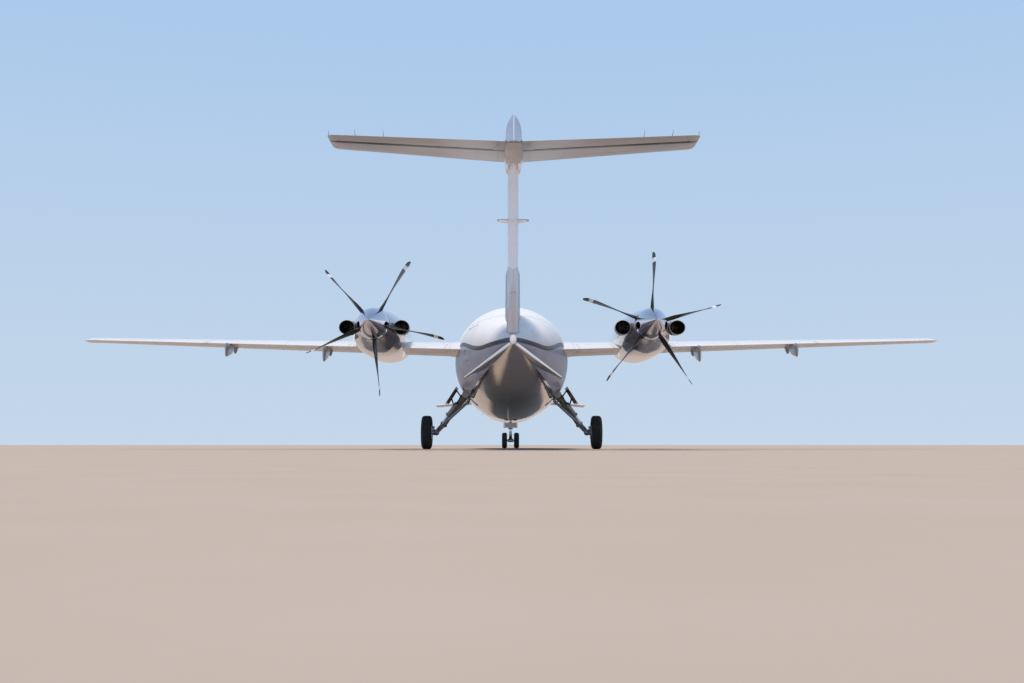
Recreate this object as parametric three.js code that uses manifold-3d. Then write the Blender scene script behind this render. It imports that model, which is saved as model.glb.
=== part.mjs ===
import * as THREE from 'three';
import { mergeVertices } from 'three/addons/utils/BufferGeometryUtils.js';
import Module from 'manifold-3d';

const wasm = await Module();
wasm.setup();

// Overall sizes in millimetres. A station is counted back from the nose tip, x is sideways with the
// starboard side positive and z is the height over the ground.
const LENGTH = 14410;
const NOSE_Y = LENGTH / 2;
const HALF_SPAN = 7015;
const GAP = 0.8;
const MOVING_GAP = 6;

const FUSELAGE_POINTS = 24;
const WALL = 50;
const REAR_WALL = 22;

// Station, top, waist, bottom and half width of the fuselage's cross-section.
const FUSELAGE = [
  [0, 1046, 1040, 1034, 6],
  [30, 1090, 1040, 993, 48],
  [90, 1133, 1041, 956, 88],
  [200, 1190, 1045, 910, 143],
  [400, 1278, 1058, 850, 219],
  [700, 1391, 1080, 780, 312],
  [1100, 1513, 1110, 703, 417],
  [1550, 1630, 1150, 640, 524],
  [2000, 1742, 1200, 590, 620],
  [2250, 1842, 1235, 565, 669],
  [2500, 1975, 1272, 545, 715],
  [2750, 2109, 1310, 530, 757],
  [3000, 2220, 1345, 518, 795],
  [3500, 2364, 1402, 503, 859],
  [4000, 2432, 1440, 495, 906],
  [5000, 2469, 1475, 490, 962],
  [6000, 2470, 1480, 490, 975],
  [7000, 2452, 1480, 494, 974],
  [7750, 2389, 1478, 520, 946],
  [8500, 2301, 1475, 580, 893],
  [9250, 2198, 1470, 680, 814],
  [10000, 2074, 1462, 818, 695],
  [10750, 1928, 1450, 978, 541],
  [11400, 1781, 1435, 1122, 387],
  [11900, 1653, 1420, 1233, 253],
  [12300, 1531, 1406, 1313, 128],
  [12530, 1432, 1396, 1360, 36],
];
const INNER_STATIONS = [2250, 2750, 3500, 5000, 7000, 7750, 9250, 10750];
const TAIL_END = 12530;
const NOSE_CONE_END = 700;
const NOSE_END = 2090;
const CABIN_END = 7530;
const REAR_END = 10900;

// Wing, canard and tailplane: distance out, leading edge station, chord, height and thickness.
const WING = [
  [0, 7540, 1820, 1530, 0.138],
  [6880, 7860, 643, 1770, 0.122],
  [6965, 7885, 515, 1773, 0.125],
  [HALF_SPAN, 7985, 215, 1775, 0.14],
];
const CANARD = [
  [0, 1155, 800, 1075, 0.12],
  [1600, 1270, 560, 935, 0.12],
  [1640, 1300, 500, 932, 0.08],
];
const TAILPLANE = [
  [0, 12400, 1030, 3765, 0.1],
  [2070, 13795, 615, 3583, 0.1],
  [2125, 13875, 520, 3579, 0.07],
];

// The fin's sections: height, leading edge station, chord and thickness. It is thicker at its foot.
const FIN = [
  [1400, 9750, 2560, 0.086],
  [1950, 10330, 2270, 0.09],
  [2150, 10620, 2085, 0.095],
  [2380, 10866, 1959, 0.098],
  [2450, 10941, 1921, 0.074],
  [3430, 11990, 1385, 0.1],
  [3520, 12085, 1330, 0.1],
];
// Blunt rear end of the rudder's foot: height, front and rear stations, half width.
const RUDDER_FOOT = [
  [1450, 11910, 12330, 83],
  [1700, 12030, 12440, 83],
  [1900, 12150, 12520, 68],
  [2130, 12330, 12570, 30],
];
const RUDDER_NOSE = 64;

// Propellers
const PROP_X = 2065;
const PROP_Z = 1862;
const PROP_STATION = 10223;
const PROP_RADIUS = 1080;
const BLADES = 5;
const PORT_PHASE = 60.4;
const STARBOARD_PHASE = 87;
const SPINNER_RADIUS = 238;
const SPINNER_START = 10112;
const SPINNER_TIP = 10850;

// Distance from the shaft, chord, thickness, twist from the shaft's line and sweep of a port blade. The
// starboard propeller turns the other way, so that its twist is the other way round.
const BLADE = [
  [100, 74, 62, 26, 0],
  [215, 80, 56, 25, 0],
  [310, 134, 35, 21, 4],
  [450, 178, 24, 10, 10],
  [620, 204, 17, 2.5, 14],
  [800, 206, 14, -4, 8],
  [1030, 150, 10, -12, -32],
  [PROP_RADIUS, 66, 7, -13, -60],
];

// Station, top, middle, bottom and half width of a nacelle.
const NACELLE = [
  [6960, 1935, 1770, 1600, 250],
  [7010, 1990, 1772, 1555, 300],
  [7150, 2050, 1778, 1508, 348],
  [7500, 2112, 1790, 1462, 396],
  [8000, 2152, 1800, 1434, 424],
  [8700, 2170, 1805, 1426, 432],
  [9200, 2165, 1810, 1432, 424],
  [9600, 2145, 1822, 1470, 392],
  [9850, 2122, 1840, 1540, 338],
  [10000, 2106, 1853, 1590, 284],
  [10095, 2096, 1861, 1626, 246],
];
const NACELLE_WALL = 14;

// Landing gear
const TRACK_HALF = 1420;
const MAIN_STATION = 7788;
const MAIN_TYRE_R = 280;
const MAIN_TYRE_W = 175;
const NOSE_STATION = 2000;
const NOSE_TYRE_R = 168;
const NOSE_TYRE_W = 112;
const NOSE_TYRE_X = 130;
const WHEEL_POINTS = 20;
const NOSE_WHEEL_POINTS = 16;

const group = new THREE.Group();
group.name = 'turboprop_business_plane';

// A point in the object's frame from a sideways distance, a station and a height.
const at = (x, station, z) => [x, NOSE_Y - station, z];

const fromGeometry = (geometry) => {
  geometry.deleteAttribute('normal');
  geometry.deleteAttribute('uv');
  const merged = mergeVertices(geometry, 1e-3);
  const mesh = new wasm.Mesh({
    numProp: 3,
    vertProperties: new Float32Array(merged.attributes.position.array),
    triVerts: new Uint32Array(merged.index.array),
  });
  return new wasm.Manifold(mesh);
};

// Adds one named piece with its own colour and finish.
const piece = (name, solid, color, roughness, metalness) => {
  const mesh = solid.simplify(0.5).getMesh();
  const geometry = new THREE.BufferGeometry();
  geometry.setAttribute('position', new THREE.BufferAttribute(new Float32Array(mesh.vertProperties), 3));
  geometry.setIndex(new THREE.BufferAttribute(new Uint32Array(mesh.triVerts), 1));
  geometry.computeVertexNormals();
  const material = new THREE.MeshStandardMaterial({ color, roughness, metalness });
  const made = new THREE.Mesh(geometry, material);
  made.name = name;
  group.add(made);
};

const both = (name, solid, color, roughness, metalness) => {
  piece(`${name}_right`, solid, color, roughness, metalness);
  piece(`${name}_left`, solid.mirror([1, 0, 0]), color, roughness, metalness);
};

// A closed solid through rings of the same number of points, each ring given as a list of points.
const loft = (rings) => {
  const n = rings[0].length;
  const flat = rings.flat().flat();
  const faces = [];
  for (let i = 0; i + 1 < rings.length; i += 1) {
    for (let j = 0; j < n; j += 1) {
      const a = i * n + j;
      const b = i * n + ((j + 1) % n);
      faces.push(a, b, b + n, a, b + n, a + n);
    }
  }
  const cap = (ring, start, flip) => {
    const centre = new THREE.Vector3();
    const normal = new THREE.Vector3();
    const points = ring.map((p) => new THREE.Vector3(...p));
    points.forEach((p) => centre.addScaledVector(p, 1 / n));
    points.forEach((p, i) => {
      const q = points[(i + 1) % n];
      normal.add(p.clone().sub(centre).cross(q.clone().sub(centre)));
    });
    normal.normalize();
    const side = Math.abs(normal.x) > 0.9 ? new THREE.Vector3(0, 1, 0) : new THREE.Vector3(1, 0, 0);
    const u = side.cross(normal).normalize();
    const v = normal.clone().cross(u);
    const offsets = points.map((p) => p.clone().sub(centre));
    const contour = offsets.map((p) => new THREE.Vector2(p.dot(u), p.dot(v)));
    THREE.ShapeUtils.triangulateShape(contour, []).forEach(([a, b, c]) => {
      const turned = flip ? [c, b, a] : [a, b, c];
      turned.forEach((k) => faces.push(start + k));
    });
  };
  cap(rings[0], 0, true);
  cap(rings[rings.length - 1], (rings.length - 1) * n, false);
  let volume = 0;
  const vertex = (k) => new THREE.Vector3(flat[k * 3], flat[k * 3 + 1], flat[k * 3 + 2]);
  for (let k = 0; k < faces.length; k += 3) {
    volume += vertex(faces[k]).dot(vertex(faces[k + 1]).cross(vertex(faces[k + 2])));
  }
  if (volume < 0) {
    for (let k = 0; k < faces.length; k += 3) {
      [faces[k], faces[k + 1]] = [faces[k + 1], faces[k]];
    }
  }
  const mesh = new wasm.Mesh({
    numProp: 3,
    vertProperties: new Float32Array(flat),
    triVerts: new Uint32Array(faces),
  });
  return new wasm.Manifold(mesh);
};

// Value of one column of a table at a station held in its first column.
const along = (table, column, s) => {
  let i = 0;
  while (i + 2 < table.length && s > table[i + 1][0]) i += 1;
  const [from, to] = [table[i], table[Math.min(i + 1, table.length - 1)]];
  const t = to === from ? 0 : (s - from[0]) / (to[0] - from[0]);
  return from[column] + t * (to[column] - from[column]);
};

// An oval ring across the object from a table of station, top, middle, bottom and half width.
const ovalRing = (table, s, inset, points, x = 0) => {
  const [top, middle, bottom, half] = [1, 2, 3, 4].map((column) => along(table, column, s));
  return Array.from({ length: points }, (_, k) => {
    const angle = (k / points) * 2 * Math.PI;
    const up = Math.sin(angle);
    const height = (up > 0 ? top - middle : middle - bottom) - inset;
    return at(x + Math.cos(angle) * (half - inset), s, middle + up * height);
  });
};

const fuselage = (from, to, inset) => {
  const all = inset > 1 ? INNER_STATIONS : FUSELAGE.map((row) => row[0]);
  const inside = all.filter((s) => s > from + 5 && s < to - 5);
  return loft([from, ...inside, to].map((s) => ovalRing(FUSELAGE, s, inset, FUSELAGE_POINTS)));
};

const largest = (solid) => solid.decompose()
  .reduce((best, body) => (body.volume() > best.volume() ? body : best));

const box = (x0, x1, s0, s1, z0, z1) => {
  const made = new THREE.BoxGeometry(Math.abs(x1 - x0), Math.abs(s1 - s0), Math.abs(z1 - z0));
  made.translate((x0 + x1) / 2, NOSE_Y - (s0 + s1) / 2, (z0 + z1) / 2);
  return fromGeometry(made);
};

// A straight round bar between two points; a second radius makes it a cone.
const bar = (a, b, radius, points = 16, endRadius = radius) => {
  const from = new THREE.Vector3(...a);
  const to = new THREE.Vector3(...b);
  const made = new THREE.CylinderGeometry(endRadius, radius, from.distanceTo(to), points);
  made.applyQuaternion(
    new THREE.Quaternion().setFromUnitVectors(new THREE.Vector3(0, 1, 0), to.clone().sub(from).normalize()),
  );
  made.translate(...from.clone().add(to).multiplyScalar(0.5).toArray());
  return fromGeometry(made);
};

// A turned solid from pairs of radius and distance along its axis, which runs along x or y.
const turned = (profile, points, axis, centre) => {
  const made = new THREE.LatheGeometry(profile.map(([r, h]) => new THREE.Vector2(r, h)), points);
  if (axis === 'x') made.rotateZ(-Math.PI / 2);
  made.translate(...centre);
  return fromGeometry(made);
};

// A prism whose outline is given by station and height, running across the object.
const sidePrism = (outline, x0, x1) => loft([
  outline.map(([s, z]) => at(x0, s, z)),
  outline.map(([s, z]) => at(x1, s, z)),
]);

// A prism whose outline is given by x and station, running upwards.
const upPrism = (outline, z0, z1) => loft([
  outline.map(([x, s]) => at(x, s, z0)),
  outline.map(([x, s]) => at(x, s, z1)),
]);

const roundedOutline = (s0, s1, z0, z1, r, steps = 2) => {
  const corners = [[s1 - r, z1 - r, 0], [s0 + r, z1 - r, 90], [s0 + r, z0 + r, 180], [s1 - r, z0 + r, 270]];
  return corners.flatMap(([s, z, turn]) => Array.from({ length: steps + 1 }, (_, i) => {
    const angle = ((turn + (i * 90) / steps) * Math.PI) / 180;
    return [s + r * Math.cos(angle), z + r * Math.sin(angle)];
  }));
};

// Outline of a wing section as pairs of chord fraction and height in chords, nose first along the top. A
// cambered section is also set nose up, by a share of its chord.
const AIRFOIL_STEPS = [0, 0.015, 0.07, 0.18, 0.36, 0.56, 0.76, 0.92, 1];
const INCIDENCE = 0.058;
const middleLine = (x, camber) => (camber ? 4 * camber * x * (1 - x) + INCIDENCE * (1 - x) : 0);
const airfoil = (thickness, camber = 0.012) => {
  const half = (x) => 5 * thickness
    * (0.2969 * Math.sqrt(x) - 0.126 * x - 0.3516 * x * x + 0.2843 * x ** 3 - 0.1036 * x ** 4) + 0.0022 * x;
  const upper = AIRFOIL_STEPS.map((x) => [x, middleLine(x, camber) + half(x)]);
  const lower = AIRFOIL_STEPS.slice(1).reverse().map((x) => [x, middleLine(x, camber) - half(x)]);
  return [...upper, ...lower];
};

const grown = (points, grow) => points.map((p, i) => {
  const before = points[(i + points.length - 1) % points.length];
  const after = points[(i + 1) % points.length];
  const dx = after[0] - before[0];
  const dz = after[1] - before[1];
  const length = Math.hypot(dx, dz) || 1;
  return [p[0] - (dz / length) * grow, p[1] + (dx / length) * grow];
});

// A flying surface from a table of distance out, leading edge station, chord, height and thickness.
const surfaceRing = ([out, edge, chord, z, thickness], side, grow, camber) => {
  const section = airfoil(thickness, camber).map(([x, h]) => [x * chord, h * chord]);
  return grown(section, grow).map(([x, h]) => at(side * (out + (out ? grow : 0)), edge + x, z + h));
};

const surface = (table, grow = 0, camber = 0.012) => {
  const port = table.slice(1).reverse().map((row) => surfaceRing(row, -1, grow, camber));
  const starboard = table.map((row) => surfaceRing(row, 1, grow, camber));
  return loft([...port, ...starboard]);
};

const halfSurface = (table, grow = 0, camber = 0.012) => loft(
  table.map((row) => surfaceRing(row, 1, grow, camber)),
);

const between = (table, out) => {
  let i = 0;
  while (i + 2 < table.length && out > table[i + 1][0]) i += 1;
  const t = (out - table[i][0]) / (table[i + 1][0] - table[i][0]);
  return table[i].map((value, k) => value + t * (table[i + 1][k] - value));
};

const hingePoint = (table, out, fraction, camber = 0.012) => {
  const [, edge, chord, z, thickness] = between(table, out);
  const mean = middleLine(fraction, camber) * chord;
  const half = airfoil(thickness, 0);
  const k = AIRFOIL_STEPS.findIndex((x) => x >= fraction);
  const t = (fraction - AIRFOIL_STEPS[k - 1]) / (AIRFOIL_STEPS[k] - AIRFOIL_STEPS[k - 1]);
  const thick = (half[k - 1][1] + t * (half[k][1] - half[k - 1][1])) * chord;
  return { point: at(out, edge + fraction * chord, z + mean), radius: thick };
};

// Splits a flying surface into its fixed part and a flap that turns about a hinge inside it. The flap's
// nose is a round bar on the hinge, the fixed part is hollowed round that bar, and a pin at each end of
// the flap runs in a hole in the fixed part.
const PIN_R = 7;
const PIN_REACH = 18;
const split = (solid, a, b, endGap = MOVING_GAP) => {
  const from = new THREE.Vector3(...a.point);
  const to = new THREE.Vector3(...b.point);
  const line = to.clone().sub(from);
  const length = line.length();
  line.normalize();
  const aft = new THREE.Vector3(0, -1, 0).addScaledVector(line, line.y).normalize();
  const up = line.clone().cross(aft);
  const corner = (l, v, w) => from.clone()
    .addScaledVector(line, l).addScaledVector(aft, v).addScaledVector(up, w).toArray();
  const block = (inset) => loft([inset, length - inset].map((l) => [
    corner(l, 0, -600), corner(l, 2000, -600), corner(l, 2000, 600), corner(l, 0, 600),
  ]));
  const round = (inset, extra, points) => bar(
    corner(inset, 0, 0), corner(length - inset, 0, 0),
    (a.radius - 1.5 + extra) / (extra ? Math.cos(Math.PI / points) : 1), points,
    (b.radius - 1.5 + extra) / (extra ? Math.cos(Math.PI / points) : 1),
  );
  const pins = (radius, reach) => bar(corner(-reach, 0, 0), corner(10, 0, 0), radius, 6)
    .add(bar(corner(length - 10, 0, 0), corner(length + reach, 0, 0), radius, 6));
  const holes = pins((PIN_R + GAP) / Math.cos(Math.PI / 6), PIN_REACH + 1);
  const moving = solid.intersect(block(endGap / 2).add(round(endGap / 2, 0, 10))).add(pins(PIN_R, PIN_REACH));
  const fixed = solid.subtract(block(-endGap / 2).add(round(-endGap / 2, MOVING_GAP - 1, 8)))
    .subtract(holes);
  return { moving, fixed };
};

// Colours and finishes
const WHITE = ['#f3f4f5', 0.18, 0.1];
const GREY = ['#8d8f92', 0.3, 0.4];
const DARK = ['#2b2d30', 0.5, 0.3];
const METAL = ['#c9ccd0', 0.25, 0.9];
const BRIGHT = ['#e6e8eb', 0.05, 1];
const RUBBER = ['#1c1c1d', 0.85, 0];
const GLASS = ['#2a333b', 0.05, 0];
const SEAT = ['#cfc4b2', 0.6, 0];

// Wing: one solid from tip to tip through the fuselage, with its flaps and ailerons cut out of it.
const JACK_X = 1180;
const JACK_STATION = 8180;
const wingWhole = surface(WING);
const CONTROL = { inner: [1030, 1570, 0.72], outer: [2560, 4880, 0.72], aileron: [4930, 6740, 0.75] };
const cutSurface = (state, key) => {
  const [from, to, fraction] = CONTROL[key];
  const made = split(state.solid, hingePoint(WING, from, fraction), hingePoint(WING, to, fraction));
  state[key] = made.moving;
  state.solid = made.fixed;
};
const rightWing = { solid: wingWhole.trimByPlane([1, 0, 0], 0) };
['inner', 'outer', 'aileron'].forEach((key) => cutSurface(rightWing, key));
const pad = (x, station, z0, z1, radius) => bar(at(x, station, z0), at(x, station, z1), radius, 12);
const wingHalf = rightWing.solid.add(pad(JACK_X, JACK_STATION, 1500, 1590, 34));
const wing = wingHalf.add(wingHalf.mirror([1, 0, 0]));

// Canoe fairings that hang under the outer flaps and reach behind them.
// Each: distance out, length and depth as shares of the largest.
const FAIRINGS = [[2950, 1, 1], [4520, 0.9, 0.85]];
const fairing = ([x, long, deep]) => {
  const hinge = hingePoint(WING, x, 0.72);
  // Distance behind the hinge, top and bottom over it and half width.
  const drop = [
    [34, -6, -40, 14],
    [120, -10, -95, 22],
    [230, -18, -160, 28],
    [360, -24, -230, 30],
    [470, -26, -278, 29],
    [540, -40, -299, 22],
    [575, -90, -285, 9],
  ];
  return loft(drop.map(([back, top, low, half]) => Array.from({ length: 8 }, (_, k) => {
    const angle = (k / 8) * 2 * Math.PI;
    const middle = (top + low * deep) / 2;
    return [
      x + half * Math.cos(angle), hinge.point[1] - back * long,
      hinge.point[2] + middle + ((top - low * deep) / 2) * Math.sin(angle),
    ];
  })));
};
const outerFlap = rightWing.outer.add(fairing(FAIRINGS[0])).add(fairing(FAIRINGS[1]));

// Fuselage in four lengths: nose cone, nose, hollow cabin and hollow rear, then the tail cone.
// Half width, front and rear of the well that the nose wheels fold into.
const NOSE_BAY = [150, 1350, 2060];
const canardGrown = surface(CANARD, GAP, 0);

const noseCone = fuselage(0, NOSE_CONE_END - GAP, 0);
const noseBay = box(-NOSE_BAY[0], NOSE_BAY[0], NOSE_BAY[1], NOSE_BAY[2], 400, 860);
const noseSection = fuselage(NOSE_CONE_END, NOSE_END - GAP, 0)
  .subtract(canardGrown)
  .subtract(noseBay)
  .add(pad(0, 1060, 670, 760, 34));

// Cabin shell: outer skin less the room inside, with its windows and doors cut through.
const WINDOW_Z = [1470, 1830];
const WINDOW_STATIONS = [4270, 4830, 5390, 5950, 6510, 7070];
const WINDOW_WIDTH = 330;
const DOOR = { s0: 3330, s1: 3940, z0: 690, z1: 1950, corner: 45 };
const DOOR_SPLIT = 1330;
const cabinOuter = fuselage(NOSE_END, CABIN_END, 0);
const cabinRoom = fuselage(NOSE_END + 160, CABIN_END + 60, WALL);
const windowPrism = (station, shrink, x0, x1) => sidePrism(roundedOutline(
  station + shrink, station + WINDOW_WIDTH - shrink, WINDOW_Z[0] + shrink, WINDOW_Z[1] - shrink, 95 - shrink,
  shrink ? 1 : 2,
), x0, x1);
const sideWindows = [
  [[2900, 1760], [3210, 1770], [3235, 2060], [3120, 2100], [2960, 1985]],
];
const windscreens = [
  [[26, 2110], [26, 2640], [560, 2860], [612, 2700], [470, 2330]],
];
const cockpitPrisms = (grow) => {
  const made = [];
  [1, -1].forEach((side) => {
    sideWindows.forEach((outline) => {
      const shape = new THREE.Shape(outline.map(([s, z]) => new THREE.Vector2(s, z)));
      made.push(sidePrism(shrunk(shape, grow), side * 420, side * 1100));
    });
    windscreens.forEach((outline) => {
      const shape = new THREE.Shape(outline.map(([x, s]) => new THREE.Vector2(x * side, s)));
      made.push(upPrism(shrunk(shape, grow), 1690, 2600));
    });
  });
  return made;
};

// Moves each side of an outline inwards by a distance.
const shrunk = (shape, distance) => {
  const points = shape.getPoints();
  const area = THREE.ShapeUtils.area(points);
  const sign = area > 0 ? 1 : -1;
  const n = points.length;
  return points.map((p, i) => {
    const a = points[(i + n - 1) % n];
    const b = points[(i + 1) % n];
    const d1 = p.clone().sub(a).normalize();
    const d2 = b.clone().sub(p).normalize();
    const n1 = new THREE.Vector2(-d1.y, d1.x).multiplyScalar(sign);
    const n2 = new THREE.Vector2(-d2.y, d2.x).multiplyScalar(sign);
    const sum = n1.clone().add(n2);
    const q = p.clone().addScaledVector(sum, distance / (1 + n1.dot(n2)));
    return [q.x, q.y];
  });
};

// Half width of the skin at a station and a height.
const skinX = (s, z) => {
  const [top, middle, bottom, half] = [1, 2, 3, 4].map((column) => along(FUSELAGE, column, s));
  const rise = (z - middle) / (z > middle ? top - middle : middle - bottom);
  return half * Math.sqrt(1 - rise * rise);
};

// A port door: its outline turned to lie along the skin, and an outside hinge, which is a rod on the door
// held between two lugs on the shell.
const HINGE_R = 9;
const portDoor = ({ s0, s1, z0, z1, corner, hingeZ, rise }) => {
  const middle = (s0 + s1) / 2;
  const edge = -skinX(middle, (z0 + z1) / 2);
  const slant = Math.atan2(skinX(s0, hingeZ) - skinX(s1, hingeZ), s1 - s0) * (180 / Math.PI);
  const turn = (solid) => solid.translate([-edge, middle - NOSE_Y, 0]).rotate([0, 0, slant])
    .translate([edge, NOSE_Y - middle, 0]);
  const x = -skinX(middle, hingeZ) - 4;
  const armZ = hingeZ + rise;
  const arm = (s) => box(x - 7, x + 75, s - 10, s + 10, armZ - 8, armZ + 8)
    .add(box(x - 7, x + 7, s - 10, s + 10, Math.min(hingeZ, armZ), Math.max(hingeZ, armZ)));
  const lug = (s) => box(x - 14, x + 80, s - 6, s + 6, hingeZ - 14, hingeZ + 14);
  const rod = (extra, reach) => bar(at(x, s0 - reach, hingeZ), at(x, s1 + reach, hingeZ), HINGE_R + extra, 8);
  return {
    prism: (gap) => turn(sidePrism(
      roundedOutline(s0 - gap, s1 + gap, z0 - gap, z1 + gap, corner + gap), edge - 150, edge + 450,
    )),
    leaf: turn(rod(0, 22).add(arm(s0 + 40)).add(arm(s1 - 40))),
    lugs: turn(lug(s0 - 15).add(lug(s1 + 15))),
    room: turn(rod(MOVING_GAP, MOVING_GAP).add(rod(0.9, 23))),
  };
};

const unite = (solids) => solids.reduce((sum, solid) => sum.add(solid));
const windowSides = [1, -1].flatMap((side) => WINDOW_STATIONS.map((s) => [s, side]));
const cabinHollow = cabinOuter.subtract(cabinRoom);
const highDoor = portDoor({ ...DOOR, hingeZ: DOOR.z1, rise: -24 });
const lowDoor = portDoor({ ...DOOR, hingeZ: DOOR.z0, rise: 24 });
const above = (solid, gap) => solid.trimByPlane([0, 0, 1], DOOR_SPLIT + gap);
const below = (solid, gap) => solid.trimByPlane([0, 0, -1], gap - DOOR_SPLIT);
const cabinShell = cabinHollow
  .subtract(above(highDoor.prism(MOVING_GAP), -1))
  .subtract(below(lowDoor.prism(MOVING_GAP), 0))
  .add(highDoor.lugs.add(lowDoor.lugs).subtract(cabinRoom))
  .subtract(highDoor.room.add(lowDoor.room))
  .subtract(unite(windowSides.map(([s, side]) => windowPrism(s, 0, side * 500, side * 1100))))
  .subtract(unite(cockpitPrisms(0)));
const upperDoor = above(cabinHollow.intersect(highDoor.prism(0)), MOVING_GAP / 2)
  .add(highDoor.leaf.subtract(cabinRoom));
const lowerDoor = below(cabinHollow.intersect(lowDoor.prism(0)), MOVING_GAP / 2)
  .add(lowDoor.leaf.subtract(cabinRoom));

// Glazing: plugs that fill the window openings, joined by a thin pane on the inner face of the wall.
const paneOuter = fuselage(NOSE_END, CABIN_END, 6);
const paneInner = fuselage(NOSE_END + 100, CABIN_END + 60, WALL + 7);
const paneSkin = fuselage(NOSE_END + 160, CABIN_END + 60, WALL + GAP).subtract(paneInner);
const cabinPanes = (side) => {
  const plugs = WINDOW_STATIONS.map((s) => windowPrism(s, GAP, side * 500, side * 1100));
  const stripEnd = WINDOW_STATIONS[5] + WINDOW_WIDTH + 25;
  const strip = box(side * 500, side * 1100, WINDOW_STATIONS[0] - 25, stripEnd, 1445, 1855);
  return paneOuter.subtract(paneInner).intersect(unite(plugs)).add(paneSkin.intersect(strip));
};
const cockpitBand = unite([
  box(-1000, 1000, 2300, 3250, 1735, 2400),
]).subtract(box(-1000, 1000, 3000, 3300, 2120, 2500));
const cockpitPanes = paneOuter.subtract(paneInner).intersect(unite(cockpitPrisms(GAP)))
  .intersect(box(-1100, 1100, 2000, 3300, 1500, 2500))
  .add(paneSkin.intersect(cockpitBand));

// Cabin floor with the rear bulkhead and the instrument panel on it, and the seats on their rails.
const FLOOR_Z = 700;
const FLOOR_END = 7500;
const acrossCabin = (s0, s1, z0, z1) => fuselage(s0, s1, WALL + 12).intersect(box(-1000, 1000, s0, s1, z0, z1));
const cabinFloor = acrossCabin(2480, FLOOR_END, FLOOR_Z - 30, FLOOR_Z)
  .add(fuselage(FLOOR_END - 40, FLOOR_END, WALL + GAP + 0.3))
  .add(acrossCabin(2480, 2560, 1180, 1640))
  .add(box(-90, 90, 2490, 2600, FLOOR_Z - 10, 1250));

const seat = (x, station, facing) => {
  const f = facing;
  const body = sidePrism([
    [station - f * 240, FLOOR_Z + 260], [station + f * 250, FLOOR_Z + 250], [station + f * 440, FLOOR_Z + 1060],
    [station + f * 340, FLOOR_Z + 1080], [station + f * 190, FLOOR_Z + 420], [station - f * 240, FLOOR_Z + 430],
  ], x - 235, x + 235);
  const base = box(x - 80, x + 80, station - 180, station + 180, FLOOR_Z + 20, FLOOR_Z + 280);
  return body.add(base);
};
const SEAT_X = 420;
const rails = [-1, 1].map((side) => box(
  side * (SEAT_X - 80), side * (SEAT_X - 40), 2940, 7150, FLOOR_Z + GAP, FLOOR_Z + 30,
));
const seats = unite([
  ...[-1, 1].flatMap((side) => [
    seat(side * 300, 3120, 1), seat(side * SEAT_X, 4750, -1), seat(side * SEAT_X, 5800, 1),
    seat(side * SEAT_X, 6850, 1),
  ]),
  ...rails,
  box(-360, 360, 4120, 4160, FLOOR_Z + GAP, FLOOR_Z + 30),
]);

// Rear fuselage with the luggage room, cut for the wing, the legs and the luggage door.
const BAGGAGE = { s0: 9560, s1: 10240, z0: 1330, z1: 1850, corner: 60, hingeZ: 1850, rise: -24 };
const LEG_STATION = 7950;
const LEG_SLOT = [7800, 8130];
const wingGrown = surface(WING, GAP);
const rearRoom = fuselage(CABIN_END - 60, REAR_END - 40, REAR_WALL);
const rearHollow = fuselage(CABIN_END + GAP, REAR_END - GAP, 0).subtract(rearRoom);
const luggage = portDoor(BAGGAGE);
const AERIAL = { x: -60, station: 9000, top: 660, drop: 205 };
const bellyAerial = loft([[190, 0, 9], [105, AERIAL.drop, 5]].map(([chord, drop, half]) => [
  [-0.5, 0], [-0.2, 1], [0.3, 1], [0.5, 0], [0.3, -1], [-0.2, -1],
].map(([along1, side]) => at(
  AERIAL.x + side * half, AERIAL.station + along1 * chord + drop * 0.35, AERIAL.top - drop,
))));
const legSlot = box(560, 900, LEG_SLOT[0], LEG_SLOT[1], 700, 1015);
const rearFuselage = rearHollow
  .subtract(wingGrown)
  .subtract(legSlot)
  .subtract(legSlot.mirror([1, 0, 0]))
  .subtract(luggage.prism(MOVING_GAP))
  .add(luggage.lugs.subtract(rearRoom))
  .subtract(luggage.room)
  .add(bellyAerial.subtract(rearRoom));
const baggageDoor = rearHollow.intersect(luggage.prism(0)).add(luggage.leaf.subtract(rearRoom));

// Fin and rudder above the fuselage, with the fairing that closes the fin's top and holds the tailplane.
const finLine = (z) => {
  const station = 11870 + ((z - 1600) * (12870 - 11870)) / (3430 - 1600);
  const row = between(FIN, z);
  const fraction = (station - row[1]) / row[2];
  const half = airfoil(row[3], 0);
  const k = AIRFOIL_STEPS.findIndex((x) => x >= fraction);
  const t = (fraction - AIRFOIL_STEPS[k - 1]) / (AIRFOIL_STEPS[k] - AIRFOIL_STEPS[k - 1]);
  return { point: at(0, station, z), radius: (half[k - 1][1] + t * (half[k][1] - half[k - 1][1])) * row[2] };
};
const finLoft = (grow) => loft(FIN.map(([z, edge, chord, thickness]) => {
  const section = airfoil(thickness, 0).map(([x, h]) => [x * chord, h * chord]);
  return grown(section, grow).map(([x, h]) => at(h, edge + x, z));
}));
const rudderFoot = loft(RUDDER_FOOT.map(([z, front, rear, half]) => [
  [0, 0.75], [0.7, 1], [0.93, 0.7], [1, 0.25], [1, -0.25], [0.93, -0.7], [0.7, -1], [0, -0.75],
].map(([back, side]) => at(side * half, front + back * (rear - front), z))));
const underFin = box(-300, 300, 9000, 13800, 1200, 1500);
const finAndRudder = split(
  finLoft(0).add(rudderFoot).subtract(underFin),
  { ...finLine(1700), radius: RUDDER_NOSE },
  finLine(3400),
);
const rudderFloor = sidePrism([
  [11400, 1791], [11900, 1664], [12300, 1542], [12530, 1443], [12600, 1300], [11400, 1300],
], -300, 300);
const rudder = finAndRudder.moving.subtract(fuselage(9000, TAIL_END, -8)).subtract(rudderFloor);

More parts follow.
